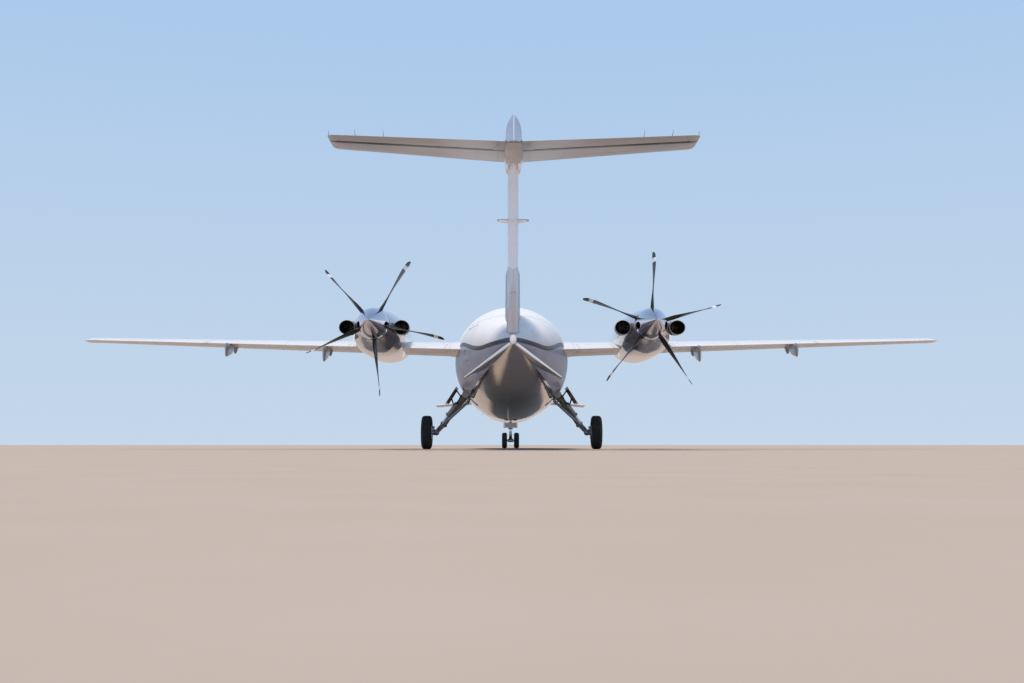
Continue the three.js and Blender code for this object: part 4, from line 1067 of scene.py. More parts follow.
def canoe(table, out, long, deep):
    hinge, _ = hinge_at(WING, out, FLAP_HINGE, CAMBER)
    rings = []
    for back in spread(table[0][0], table[-1][0], 26):
        top, low, half = smooth_row(table, back)
        low *= deep
        rings.append([
            hinge + Vector((half * reach, -back * long, (top + low) / 2 + (top - low) / 2 * rise))
            for reach, rise in circle(24)
        ])
    return loft("canoe", rings)


canoes = joined("flap_fairings_right", [canoe(CANOE, *place) for place in CANOES])
canoe_fronts = joined("fronts", [canoe(CANOE_FRONT, out, long, 1.0) for out, long, _ in CANOES])
fit_both(canoes, moulded_grey, "outer_flap_right")
fit(both_sides("flap_fairing_fronts", canoe_fronts), moulded_grey, "airframe")

# Wing tips: a coloured moulded lens, set into each front corner. It follows the wing's own section and stands a
# hair proud of the skin.
LENS_REACH = 0.19
LENS_PROUD = 0.0015


def lens_ring(out, steps=10):
    """The front of the wing's own section, a little proud of the skin."""
    edge, chord, height, thickness = straight_row(WING, out)
    ring = []
    for side, stops in ((1, spread(0.0, 1.0, steps)), (-1, spread(1.0, 0.0, steps)[:-1])):
        for stop in stops:
            share = stop * stop * LENS_REACH / max(chord, 2 * LENS_REACH)
            rise = (middle_line(share, CAMBER) + side * foil_half(share, thickness)) * chord
            station = edge + share * chord - (1 - stop) * 2 * LENS_PROUD
            ring.append(at(out, station, height + rise + side * LENS_PROUD))
    return ring


for side, name, glow in ((1, "right", (0.02, 0.45, 0.12)), (-1, "left", (0.55, 0.02, 0.02))):
    bright_glow = tuple(min(1.0, part * 1.6 + 0.03) for part in glow)
    lens_glass = Finish(f"tip_lens_{name}", Coat_Weight=1.0, Coat_Roughness=0.02, Roughness=0.08)
    lens_glass.mottled(glow, bright_glow, (160.0, 2.0), (0.0008,))
    lens = loft(f"tip_light_{name}", [lens_ring(out) for out in (6.9, 6.93, 6.965, 6.985, 7.0)])
    if side < 0:
        lens.data.transform(Matrix.Diagonal((-1, 1, 1, 1)))
        lens.data.flip_normals()
    fit(lens, lens_glass, "airframe")

# Nacelles: moulded cowls over the wing, each with a round intake in front, two exhaust openings behind and
# the propeller's shaft through its rear wall. The cowls are pale silver paint, polished like the cones.
PROP_OUT = 2.065
PROP_HEIGHT = 1.862
PROP_STATION = 10.223
NACELLE_WALL = 0.014
INTAKE_HALF = 0.205
NACELLE = [
    # station, top, middle, bottom, half width
    (6.96, 1.935, 1.770, 1.600, 0.250),
    (7.01, 1.990, 1.772, 1.555, 0.300),
    (7.15, 2.050, 1.778, 1.508, 0.348),
    (7.5, 2.112, 1.790, 1.462, 0.396),
    (8.0, 2.152, 1.800, 1.434, 0.424),
    (8.7, 2.170, 1.805, 1.426, 0.432),
    (9.2, 2.165, 1.810, 1.432, 0.424),
    (9.6, 2.145, 1.822, 1.470, 0.392),
    (9.85, 2.122, 1.840, 1.540, 0.338),
    (10.0, 2.106, 1.853, 1.590, 0.284),
    (10.095, 2.096, 1.861, 1.626, 0.246),
]

silver_cowl = Finish("silver_cowl", Coat_Weight=1.0, Coat_Roughness=0.015)
x, y, z = silver_cowl.axes()
station = NOSE_AT - y
from_shaft = abs(x) - PROP_OUT
COWL_JOINTS = (7.12, 7.9, 8.9, 9.42, 9.98)
cowl_seams = station.near(COWL_JOINTS, SEAM)
cowl_seams = cowl_seams.largest(
    (abs(z - 1.83) < SEAM) * (station > COWL_JOINTS[0]) * (station < COWL_JOINTS[-1])
)
cowl_seams = cowl_seams.largest((abs(from_shaft) < SEAM) * (z < 1.7) * (station > COWL_JOINTS[1]))
LATCH_PITCH = 0.06
latches = station.near(COWL_JOINTS, 0.004, 0.03) * (abs(z % LATCH_PITCH - LATCH_PITCH / 2) < 0.005)
cloud = silver_cowl.noise(3.0, 4.0)
soot = silver_cowl.noise(7.0, 6.0, (1.0, 0.15, 1.0)).ramp(0.45, 0.8) * station.ramp(9.2, 10.0)
# painted reflection: a dark patch low on the inboard side towards the rear stands in for the dark fuselage side and
# its shade mirrored in the cowl
inboard_painted_reflection = (0.0 - from_shaft).ramp(0.02, 0.2) * (1.86 - z).ramp(0.0, 0.1) * (z - 1.44).ramp(0.0, 0.12)
inboard_painted_reflection = inboard_painted_reflection * station.ramp(8.4, 9.5)
tone = silver_cowl.layers(
    silver_cowl.mix(cloud, (0.6, 0.59, 0.61), (0.72, 0.71, 0.72)),
    (soot * 0.35, (0.2, 0.18, 0.17)), (inboard_painted_reflection * 0.65, (0.04, 0.036, 0.036)),
    (cowl_seams * 0.8, (0.06, 0.06, 0.065)), (latches * 0.5, (0.25, 0.25, 0.26)),
)
silver_cowl.surface(Base_Color=tone, Metallic=0.75 - soot * 0.2, Roughness=0.12 + soot * 0.2)
silver_cowl.bump(1.0 - cowl_seams - latches * 0.5, 0.0012)

INTAKE = [
    # station, top, middle, bottom, half width
    (6.95, 1.899, 1.77, 1.641, 0.214),
    (6.975, 1.89, 1.77, 1.65, INTAKE_HALF),
    (7.05, 1.886, 1.77, 1.654, 0.2),
    (7.3, 1.9, 1.79, 1.68, 0.17),
    (7.62, 1.93, 1.83, 1.73, 0.13),
]


def nacelle_part(name, table, stations, inset=0.0, points=48):
    return ovals(name, table, stations, inset, points, PROP_OUT)


def on_shaft(station, side=1):
    return at(side * PROP_OUT, station, PROP_HEIGHT)


cowl_stations = spread(6.96, 7.15, 8) + spread(7.2, 9.2, 20) + spread(9.25, 10.095, 16)
cowl = nacelle_part("cowl_right", NACELLE, cowl_stations, 0.0, 72)
carve(cowl, nacelle_part("room", NACELLE, spread(7.03, 10.07, 40), NACELLE_WALL, 72))
carve(cowl, nacelle_part("intake", INTAKE, (6.95, 6.96, 6.975, 7.0, 7.05)))
carve(cowl, rod("shaft_hole", on_shaft(9.99), on_shaft(10.13), 0.096, points=40))
intake_duct = nacelle_part("intake_duct_right", INTAKE, spread(6.985, 7.62, 16), -0.006)
carve(intake_duct, nacelle_part("duct_bore", INTAKE, spread(6.98, 7.6, 16)))

burnt_steel = Finish("burnt_steel")
x, y, z = burnt_steel.axes()
station = NOSE_AT - y
scale = burnt_steel.noise(26.0, 8.0)
heat = station.ramp(9.62, 10.0)
bore_x = abs(abs(x) - PROP_OUT) - 0.408
bore_z = z - PROP_HEIGHT + 0.039
inside = ((bore_x * bore_x / 0.0128 + bore_z * bore_z / 0.0108) < 1.0) * (station > 9.7)
rim = station.ramp(10.0, 10.02)
tone = burnt_steel.layers(
    burnt_steel.mix(heat, (0.42, 0.4, 0.38), (0.27, 0.22, 0.2)),
    (rim, (0.4, 0.36, 0.33)), (scale * 0.5, (0.12, 0.09, 0.08)), (inside, (0.004, 0.004, 0.004)),
)
burnt_steel.surface(
    Base_Color=tone, Metallic=0.85 - inside * 0.85, Roughness=0.3 + scale * 0.25 + inside * 0.4,
)
burnt_steel.bump(scale, 0.0015, 0.4)

# Exhaust stacks: two welded steel pipes from the engine's collector, bent outwards and then straight back,
# with a rolled lip and a bore black with soot.
STACK_HALF = 0.1
STACK = [
    # step along the pipe, distance from the shaft, station, drop, width over the height
    (0.0, 0.150, 9.48, 0.0, 0.92),
    (1.0, 0.280, 9.56, 0.002, 0.95),
    (2.0, 0.378, 9.70, 0.02, 1.05),
    (3.0, 0.408, 9.85, 0.036, 1.15),
    (4.0, 0.408, 10.04, 0.04, 1.2),
]


def stack_ring(side, step, radius, points=40, back=0.0):
    out, station, drop, wide = smooth_row(STACK, step)
    ahead, behind = smooth_row(STACK, min(4.0, step + 0.05)), smooth_row(STACK, max(0.0, step - 0.05))
    dx, ds = ahead[0] - behind[0], ahead[1] - behind[1]
    length = math.hypot(dx, ds)
    ring = []
    for reach, rise in circle(points):
        across = radius * wide * reach
        ring.append(at(
            PROP_OUT + side * (out + ds / length * across), station + back - dx / length * across,
            PROP_HEIGHT - drop + radius * 1.1 * rise,
        ))
    return ring


STACK_BORE = STACK_HALF - 0.009
stacks = []
for side in (1, -1):
    pipe_steps = spread(0.0, 3.8, 24) + [3.9, 3.98, 4.0]
    pipe = loft("pipe", [stack_ring(side, s, STACK_HALF - (0.003 if s < 3.85 else 0.0)) for s in pipe_steps])
    bore_rings = [stack_ring(side, s, STACK_BORE) for s in spread(1.5, 4.0, 18)]
    stacks.append(carve(pipe, loft("bore", bore_rings + [stack_ring(side, 4.0, STACK_BORE, back=0.02)])))
collector_ends = [at(PROP_OUT + reach, 9.48, PROP_HEIGHT) for reach in (-0.19, 0.19)]
exhaust = joined("exhaust_stacks_right", stacks + [rod("collector", *collector_ends, 0.088)])

cast_alloy = Finish("cast_alloy", Metallic=0.7)
cast_alloy.mottled((0.14, 0.14, 0.145), (0.3, 0.3, 0.31), (55.0, 6.0), (0.002, 0.5), rough=(0.4, 0.3))
dress("engine_right", cast_alloy)
dress("engine_left", cast_alloy)
fit_both(cowl, silver_cowl, "airframe", ["nacelle_right"])
fit_both(intake_duct, cast_alloy, "airframe")
fit_both(exhaust, burnt_steel, "airframe", ["exhaust_right"])

# Propellers: five moulded blades each, black with a white band near the tip, in steel collars on a hub. They
# stand feathered, nearly edge-on from behind.
BLADES = 5
PHASES = {"right": 87.0, "left": 60.4}
BLADE = [
    # distance from the shaft, chord, thickness, twist in degrees, sweep
    (0.1, 0.074, 0.062, 26.0, 0.0),
    (0.215, 0.080, 0.056, 25.0, 0.0),
    (0.31, 0.134, 0.035, 21.0, 0.004),
    (0.45, 0.178, 0.024, 10.0, 0.010),
    (0.62, 0.204, 0.017, 2.5, 0.014),
    (0.8, 0.206, 0.014, -4.0, 0.008),
    (1.03, 0.150, 0.010, -12.0, -0.032),
    (1.08, 0.066, 0.007, -13.0, -0.060),
]
BAND = (0.925, 0.99)


def blade_ring(distance, hand, points=28):
    """A section of a blade. The starboard propeller turns the other way, so that its twist is mirrored."""
    chord, thickness, twist, sweep = smooth_row(BLADE, distance)
    turn = math.radians(hand * twist)
    flat = min(1.0, max(0.0, (distance - 0.2) / 0.15))
    ring = []
    for across, rise in circle(points):
        thick = rise * (1 - 0.25 * flat * (1 - across) / 2)
        u, v = sweep + chord / 2 * across, thickness / 2 * thick
        ring.append((v * math.cos(turn) + u * math.sin(turn), v * math.sin(turn) - u * math.cos(turn), distance))
    return ring


def blade_finish(name, side):
    """Black moulded blade with a white band and chips; measured from the shaft."""
    made = Finish(name, Coat_Weight=0.12, Coat_Roughness=0.2, Specular_IOR_Level=0.25)
    x, y, z = made.axes()
    across, rise = x - side * PROP_OUT, z - PROP_HEIGHT
    square = across * across + rise * rise
    distance = square.maths("SQRT", square)
    band = (distance > BAND[0]) * (distance < BAND[1])
    scratch = made.noise(40.0, 8.0, (1.0, 4.0, 1.0))
    chips = scratch.ramp(0.62, 0.72) * (distance > 0.4)
    tone = made.layers(
        made.mix(scratch, (0.006, 0.006, 0.008), (0.02, 0.021, 0.025)), (chips * 0.12, (0.16, 0.16, 0.16)),
        (band, made.mix(scratch, (0.72, 0.72, 0.74), (0.86, 0.86, 0.87))),
    )
    made.surface(Base_Color=tone, Roughness=0.38 + scratch * 0.2)
    made.bump(scratch, 0.0008, 0.3)
    return made


def lathe(name, profile, points=64):
    """A turned piece about the lengthways line, from pairs of radius and distance forwards."""
    sideways, upwards = Vector((1, 0, 0)), Vector((0, 0, 1))
    return loft(name, [
        round_ring(Vector((0, forwards, 0)), sideways, upwards, radius, points) for radius, forwards in profile
    ])


polished_cone = Finish("polished_cone", Metallic=1.0, Coat_Weight=0.3, Coat_Roughness=0.01)
x, y, z = polished_cone.axes()
swirl = polished_cone.noise(5.0, 5.0, (1.0, 0.3, 1.0))
fine = polished_cone.noise(120.0, 3.0, (1.0, 0.05, 1.0))
dust = swirl.ramp(0.5, 0.8)
SCREW, SCREW_PITCH = 0.004, 0.05
screws = (abs((NOSE_AT - y) - 10.15) < SCREW) * (abs(x % SCREW_PITCH - SCREW_PITCH / 2) < SCREW)
tone = polished_cone.mix(fine * 0.5, (0.64, 0.64, 0.7), (0.56, 0.56, 0.62))
polished_cone.surface(
    Base_Color=polished_cone.mix(screws * 0.5 + dust * 0.12, tone, (0.3, 0.28, 0.26)), Roughness=0.05 + dust * 0.08,
)
polished_cone.bump(fine * 0.2 - screws, 0.0004)

CONE_START = 10.112
CONE = [
    # distance behind the cone's foot, radius
    (0.0, 0.238), (0.06, 0.238), (0.15, 0.2309), (0.27, 0.2071), (0.4, 0.1666), (0.53, 0.1119),
    (0.64, 0.0571), (0.705, 0.0214), (0.738, 0.003),
]
COLLAR = [(0.02, 0.09), (0.05, 0.09), (0.052, 0.15), (0.047, 0.17), (0.047, 0.225), (0.042, 0.232), (0.02, 0.232)]
HUB = [
    (0.001, -0.095), (0.105, -0.095), (0.112, -0.088), (0.122, -0.04), (0.122, 0.04), (0.09, 0.1024), (0.001, 0.1024),
]
SHAFT = [(0.001, 0.4222), (0.06, 0.4222), (0.06, 0.09), (0.001, 0.09)]
CONE_WALL = 0.006
SHAFT_ROOM = 0.07
BLADE_ROOM = 0.058
SIDES = (("right", 1), ("left", -1))
blade_steps = spread(0.1, 1.03, 34) + [1.05, 1.065, 1.075, 1.08]
cone_steps = spread(0.0, 0.06, 2) + spread(0.09, 0.7, 30) + [0.72, 0.732, 0.738]


def placed(part, place):
    part.data.transform(place)
    return part


for key, side in SIDES:
    shaft = Matrix.Translation(on_shaft(PROP_STATION, side))
    metal = [placed(lathe("hub", HUB), shaft), placed(lathe("shaft", SHAFT, 40), shaft)]
    cone_foot = Matrix.Translation(on_shaft(CONE_START, side))
    outer = [(0.001, 0.0)] + [(smooth_row(CONE, back)[0], -back) for back in cone_steps]
    inner = [(0.001, -CONE_WALL)]
    inner += [(smooth_row(CONE, back)[0] - CONE_WALL, -back) for back in spread(CONE_WALL, 0.66, 20)]
    cone = placed(lathe(f"cone_{key}", outer, 96), cone_foot)
    carve(cone, placed(lathe("cone_room", inner), cone_foot))
    carve(cone, rod("hub_hole", on_shaft(10.0, side), on_shaft(10.14, side), SHAFT_ROOM, points=40))
    blades = []
    for k in range(BLADES):
        turn = shaft @ Matrix.Rotation(math.radians(90.0 - PHASES[key] - k * 360.0 / BLADES), 4, "Y")
        blades.append(placed(loft("blade", [blade_ring(step, -side) for step in blade_steps]), turn))
        metal.append(placed(lathe("collar", COLLAR, 32), turn @ Matrix.Rotation(math.radians(90.0), 4, "X")))
        carve(cone, placed(rod("blade_hole", (0, 0, 0.13), (0, 0, 0.3), BLADE_ROOM, points=40), turn))
    body, node = f"propeller_{key}", [f"propeller_{key}"]
    black = blade_finish(f"blade_black_{key}", side)
    fit(joined(f"blades_{key}", blades), black, body, node, sharp=50)
    fit(joined(f"hub_{key}", metal), cast_alloy, body, node)
    fit(cone, polished_cone, body, [f"spinner_{key}"], sharp=25)

# Forward wing: a small moulded wing through the nose, painted white with a polished front edge. On each side
# a flap is hinged behind it.
CANARD = [
    # distance out, leading edge station, chord, height, thickness
    (0.0, 1.155, 0.8, 1.075, 0.12),
    (1.6, 1.27, 0.56, 0.935, 0.12),
    (1.625, 1.283, 0.535, 0.9335, 0.1),
    (1.64, 1.3, 0.5, 0.932, 0.05),
]
canard_paint = airframe_paint(
    "canard_paint", 1.6, (0.42, 0.59, 1.5), ((1.35, 1.42),), (1.155, 1.27, 0.035),
    # the under tone is painted shade on the forward wing's underside
    under=(1.075, -0.0875, 0.0, (0.5, 0.49, 0.5)),
)


def small_surface(name, node, table, cells, paint, control, hinge_ends, fraction):
    """A surface of two equal halves with a control hinged behind each."""
    half = half_surface("half", table, 0.0, cells)
    ends = [hinge_at(table, out, fraction, 0.0) for out in hinge_ends]
    control_skin = split(half, f"{control}_skin_right", *ends)
    fit(both_sides(name, half), paint, "airframe", [node])
    fit_both(control_skin, paint, f"{control}_right", [f"{control}_right"])


small_surface("forward_wing", "canard", CANARD, 16, canard_paint, "canard_flap", (0.6, 1.59), FLAP_HINGE)

# Tailplane: a moulded composite surface on top of the fin, with an elevator hinged behind each half and thin
# static wicks along the elevators' rear edges.
ELEVATOR_HINGE = 0.7
TAILPLANE = [
    # distance out, leading edge station, chord, height, thickness
    (0.0, 12.4, 1.03, 3.765, 0.1),
    (2.07, 13.795, 0.615, 3.583, 0.1),
    (2.11, 13.84, 0.56, 3.5805, 0.09),
    (2.125, 13.875, 0.52, 3.579, 0.05),
]
tail_paint = airframe_paint(
    "tail_paint", 2.07, (0.2,), ((12.75, 14.0),), (12.4, 13.795, 0.035),
    # the under tone is painted shade on the tailplane's underside, and the hinge band is painted shadow
    under=(3.765, -0.0879, 0.0, (0.4, 0.385, 0.385)), hinge=(13.083, 14.188),
)
small_surface("tailplane_skin", "tailplane", TAILPLANE, 20, tail_paint, "elevator", (0.26, 2.04), ELEVATOR_HINGE)

wick_carbon = Finish("wick_carbon", Roughness=0.6)
wick_carbon.mottled((0.02, 0.02, 0.02), (0.08, 0.08, 0.08), (300.0, 3.0), (0.0005,))


def wick(out, reach, rise):
    """A wick on the tailplane's rear edge, from its metal foot to its tip."""
    edge, chord, height, _ = straight_row(TAILPLANE, abs(out))
    foot = at(out, edge + chord - 0.02, height)
    knee, tip = foot + Vector((0, -reach * 0.3, rise * 0.25)), foot + Vector((0, -reach, rise))
    return [rod("wick_foot", foot, knee, 0.004, 0.003, 10), rod("wick", knee, tip, 0.0026, 0.0016, 8)]


for key, side in SIDES:
    wicks = [part for out in (1.51, 1.82) for part in wick(side * out, 0.12, 0.044)]
    fit(joined(f"elevator_wicks_{key}", wicks), wick_carbon, f"elevator_{key}")
tip_wicks = wick(2.11, 0.014, 0.058) + wick(-2.11, 0.014, 0.058)
fit(joined("tailplane_wicks", tip_wicks), wick_carbon, "airframe")

# Fin and rudder: a swept metal fin, dark metallic at its foot and white above, with a short aerial blade on
# each side and a moulded cap that closes its top and holds the tailplane.
FIN = [
    # height, leading edge station, chord, thickness
    (1.4, 9.75, 2.56, 0.086),
    (1.95, 10.33, 2.27, 0.09),
    (2.15, 10.62, 2.085, 0.095),
    (2.38, 10.866, 1.959, 0.098),
    (2.45, 10.941, 1.921, 0.074),
    (3.43, 11.99, 1.385, 0.1),
    (3.52, 12.085, 1.33, 0.1),
]
RUDDER_FOOT = [
    # height, front and rear stations, half width
    (1.45, 11.91, 12.33, 0.083),
    (1.7, 12.03, 12.44, 0.083),
    (1.9, 12.15, 12.52, 0.068),
    (2.13, 12.33, 12.57, 0.03),
]
RUDDER_FLOOR = [(11.4, 1.791), (11.9, 1.664), (12.3, 1.542), (12.53, 1.443), (12.6, 1.3), (11.4, 1.3)]
RUDDER_NOSE = 0.0655
FIN_PAINT_HEIGHT = 2.28
fin_paint = Finish("fin_paint", Coat_Weight=0.15, Coat_Roughness=0.2, Specular_IOR_Level=0.3)
x, y, z = fin_paint.axes()
station = NOSE_AT - y
upper = (z - FIN_PAINT_HEIGHT - (12.8 - station) * 0.157 - abs(x) * 0.6).ramp(-0.003, 0.003)
seams = z.near((2.86, 2.02), 0.0025)
FIN_RIVET, FIN_PITCH = 0.003, 0.035
rivets = z.near((2.84, 2.0), FIN_RIVET) * (abs(station % FIN_PITCH - FIN_PITCH / 2) < FIN_RIVET)
cloud = fin_paint.noise(2.6, 4.0)
streak = fin_paint.noise(8.0, 6.0, (1.0, 1.0, 0.1)).ramp(0.5, 0.85)
tone = fin_paint.layers(
    fin_paint.mix(cloud, (0.6, 0.6, 0.64), (0.7, 0.7, 0.74)),
    # painted shade: the foot's thickest sides are darkened, standing in for the shade at the edges of its rounded
    # section
    (abs(x).ramp(0.068, 0.08) * 0.7, (0.14, 0.14, 0.17)),
    (upper, fin_paint.mix(cloud, (0.9, 0.87, 0.9), (0.96, 0.93, 0.95))),
    (streak * 0.12, (0.35, 0.3, 0.27)), (seams * 0.7, (0.1, 0.1, 0.105)), (rivets * 0.4, (0.3, 0.3, 0.31)),
)
fin_paint.surface(Base_Color=tone, Metallic=0.15 - upper * 0.15, Roughness=0.42 + streak * 0.1)
fin_paint.bump(1.0 - seams - rivets * 0.4, 0.0012)


def fin_ring(height):
    edge, chord, thickness = straight_row(FIN, height)
    return [at(h * chord, edge + x * chord, height) for x, h in foil(thickness, 0.0)]


def fin_hinge(height):
    edge, chord, thickness = straight_row(FIN, height)
    station = 11.87 + (height - 1.6) / (3.43 - 1.6)
    return at(0, station, height), foil_half((station - edge) / chord, thickness) * chord


def with_port_half(edge):
    """A ring that is the same on both sides, from its starboard edge."""
    return edge + [Vector((-point.x, point.y, point.z)) for point in reversed(edge)]


fin_heights = [1.42] + spread(1.5, 1.95, 5) + spread(2.05, 2.35, 3) + [2.38, 2.45] + spread(2.5, 3.43, 10) + [3.6]
fin = loft("fin_skin", [fin_ring(h) for h in fin_heights])
foot_rings = []
for height in spread(1.5, 2.13, 12):
    front, rear, half = smooth_row(RUDDER_FOOT, height)
    edge = []
    for back in (0.0, 0.3, 0.6, 0.75, 0.86, 0.94, 0.98, 0.998):
        narrow = (1 - 0.22 * (1 - back) ** 3) * math.sqrt(1 - max(0.0, (back - 0.55) / 0.45) ** 2.6)
        edge.append(at(half * narrow, front + back * (rear - front), height))
    foot_rings.append(with_port_half(edge))
carve(fin, loft("rudder_foot", foot_rings), "UNION")
rudder = split(fin, "rudder_skin", (fin_hinge(1.7)[0], RUDDER_NOSE), fin_hinge(3.4))
carve(rudder, ovals("hull_clearance", FUSELAGE, spread(9.0, TAIL_END, 30), -0.008, 48))
carve(rudder, side_prism("rudder_floor", RUDDER_FLOOR, -0.3, 0.3))
fit(fin, fin_paint, "airframe", ["fin"])
fit(rudder, fin_paint, "rudder", ["rudder"])

CAP = [
    # station, half width, top, bottom
    (12.02, 0.008, 3.7, 3.66),
    (12.14, 0.05, 3.76, 3.625),
    (12.4, 0.09, 3.83, 3.59),
    (12.8, 0.112, 3.88, 3.56),
    (13.3, 0.118, 3.93, 3.5),
    (13.7, 0.112, 3.968, 3.56),
    (13.96, 0.092, 3.98, 3.64),
]
CAP_SIDE = [
    # share of the half width, share of the height
    (0.0, 1.0), (0.1, 0.985), (0.24, 0.95), (0.42, 0.88), (0.6, 0.78), (0.76, 0.67), (0.88, 0.56), (0.96, 0.45),
    (1.0, 0.32), (0.98, 0.16), (0.85, 0.0),
]
CAP_END = (
    # share of the width, slope of the end over its height
    (1.0, 0.0), (0.99, 0.06), (0.25, 0.02),
)
cap_rings = []
cap_steps = [(s, 1.0, 0.0) for s in spread(12.02, 13.8, 27)]
cap_steps += [(station, share, slope) for station, (share, slope) in zip((13.86, 13.93, 13.96), CAP_END)]
for station, share, slope in cap_steps:
    half, top, bottom = smooth_row(CAP, station)
    edge = [
        at(side * half * share, station - slope * rise, bottom + rise * (top - bottom)) for side, rise in CAP_SIDE
    ]
    cap_rings.append(with_port_half(edge)[:-1])
cap = loft("fin_cap", cap_rings)
carve(cap, block("rudder_room", (-0.3, 12.7, 3.4), (0.3, 13.38, 3.545)))
cap_paint = Finish("cap_paint", Coat_Weight=1.0, Coat_Roughness=0.03)
x, y, z = cap_paint.axes()
cloud = cap_paint.noise(9.0, 5.0)
over_joint = z - (NOSE_AT - y - 12.0) * 0.03 - 3.57
shell = over_joint.ramp(-0.002, 0.002)
seams = (abs(over_joint) < 0.003).largest(abs(NOSE_AT - y - 13.32) < 0.002)
tone = cap_paint.layers(
    cap_paint.mix(cloud, (0.4, 0.37, 0.35), (0.5, 0.47, 0.45)),
    (shell, cap_paint.mix(cloud, (0.5, 0.52, 0.58), (0.62, 0.64, 0.7))),
    # painted highlight: a thin near-white line along the crest of the upper shell
    (shell * (abs(x) < 0.006), (0.92, 0.92, 0.92)), (seams * 0.8, (0.06, 0.06, 0.065)),
)
cap_paint.surface(Base_Color=tone, Metallic=shell * 0.7, Roughness=0.35 - shell * 0.24 + cloud * 0.06)
cap_paint.bump(1.0 - seams, 0.0012)
fit(cap, cap_paint, "airframe", sharp=24)

FIN_AERIAL_HEIGHT = 3.0
aerial_outline = [
    (0, 12.13), (0.15, 12.19), (0.21, 12.29), (0.21, 12.37), (0.15, 12.4), (0, 12.41), (-0.15, 12.4),
    (-0.21, 12.37), (-0.21, 12.29), (-0.15, 12.19),
]
aerial_rings = []
for rise, grow in ((-0.006, 0.012), (-0.004, 0.003), (0.0, 0.0), (0.004, 0.003), (0.006, 0.012)):
    aerial_rings.append([at(x, s, FIN_AERIAL_HEIGHT + rise) for x, s in rounded(aerial_outline, 0.03, grow, 3)])
cream_plastic = Finish("cream_plastic", Coat_Weight=0.3, Roughness=0.35)
speck = cream_plastic.noise(30.0, 6.0)
x, y, z = cream_plastic.axes()
edge_band = (abs(x) > 0.185).largest(abs(z - FIN_AERIAL_HEIGHT) < 0.002)
cream_plastic.surface(Base_Color=cream_plastic.layers(
    cream_plastic.mix(speck, (0.62, 0.6, 0.57), (0.75, 0.73, 0.7)), (edge_band * 0.7, (0.06, 0.055, 0.06)),
))
cream_plastic.bump(speck, 0.0006, 0.3)
fit(loft("fin_aerials", aerial_rings), cream_plastic, "airframe")

# Ventral fins: two plates that slope down and out under the tail, their rear edge painted near white as a
# painted highlight, and the small white lamp that closes the tail.
VENTRAL_SLOPE = Vector((0.801, -0.599))
VENTRAL_NORMAL = Vector((0.599, 0.801))
ventral_paint = Finish("ventral_paint", Coat_Weight=1.0, Coat_Roughness=0.03)
x, y, z = ventral_paint.axes()
cloud = ventral_paint.noise(4.0, 5.0)
# painted highlight: the last 28 mm of each fin is painted near white and not metallic, standing in for sunlight on
# the rear edge
painted_highlight_edge = (NOSE_AT - y) > 12.472
tone = ventral_paint.mix(cloud, (0.2, 0.205, 0.225), (0.3, 0.305, 0.33))
ventral_paint.surface(
    Base_Color=ventral_paint.mix(painted_highlight_edge, tone, (0.93, 0.93, 0.93)), Metallic=0.5 - painted_highlight_edge * 0.5,
    Roughness=0.2 + cloud * 0.1,
)
ventral_paint.bump(cloud, 0.0006, 0.2)


def ventral_ring(reach, front, rear, thick):
    shoulder = front + (rear - front) * 0.2
    ring = []
    for station, side in (
        (front, 0), (front + (shoulder - front) * 0.3, 0.6), (shoulder, 1), (rear - 0.03, 1), (rear, 0.3),
        (rear, -0.3), (rear - 0.03, -1), (shoulder, -1), (front + (shoulder - front) * 0.3, -0.6),
    ):
        place = Vector((0.02, 1.385)) + VENTRAL_SLOPE * reach + VENTRAL_NORMAL * (side * thick)
        ring.append(at(place.x, station, place.y))
    return ring


ventral = loft("ventral_fin", [
    ventral_ring(0.0, 10.99, 12.5, 0.02), ventral_ring(0.3, 10.995, 12.5, 0.018),
    ventral_ring(0.745, 12.17, 12.5, 0.009), ventral_ring(0.762, 12.21, 12.48, 0.004),
])
fit(both_sides("ventral_fins", ventral), ventral_paint, "airframe")

tail_lens = Finish("tail_lens", Coat_Weight=1.0, Coat_Roughness=0.02, Roughness=0.15)
tail_lens.mottled((0.86, 0.86, 0.86), (0.97, 0.97, 0.97), (90.0, 2.0), (0.0008,))
lens_rings = [
    [at(0.044 * share * reach, TAIL_END + back, 1.417 + 0.062 * share * rise) for reach, rise in circle(32)]
    for back, share in ((-0.07, 0.7), (-0.03, 0.96), (0.004, 1.0), (0.02, 0.9), (0.032, 0.66), (0.04, 0.3))
]
fit(loft("tail_lamp", lens_rings), tail_lens, "airframe")

# Main legs: forged arms in dark enamel that splay out from the fuselage, with a trailing arm to the wheel, a
# sprung strut with a bright piston, and thin steel brake pipes clipped along them.
LEG_STATION = 7.95
LEG_TOP = at(0.76, LEG_STATION, 0.905)
KNEE_STATION, KNEE_HEIGHT = 7.56, 0.42
KNEE = at(1.15, KNEE_STATION, KNEE_HEIGHT)
MAIN_AXLE_STATION = 7.788
MAIN_RADIUS = 0.28
TRACK_HALF = 1.42
AXLE_START = at(1.262, MAIN_AXLE_STATION, MAIN_RADIUS)

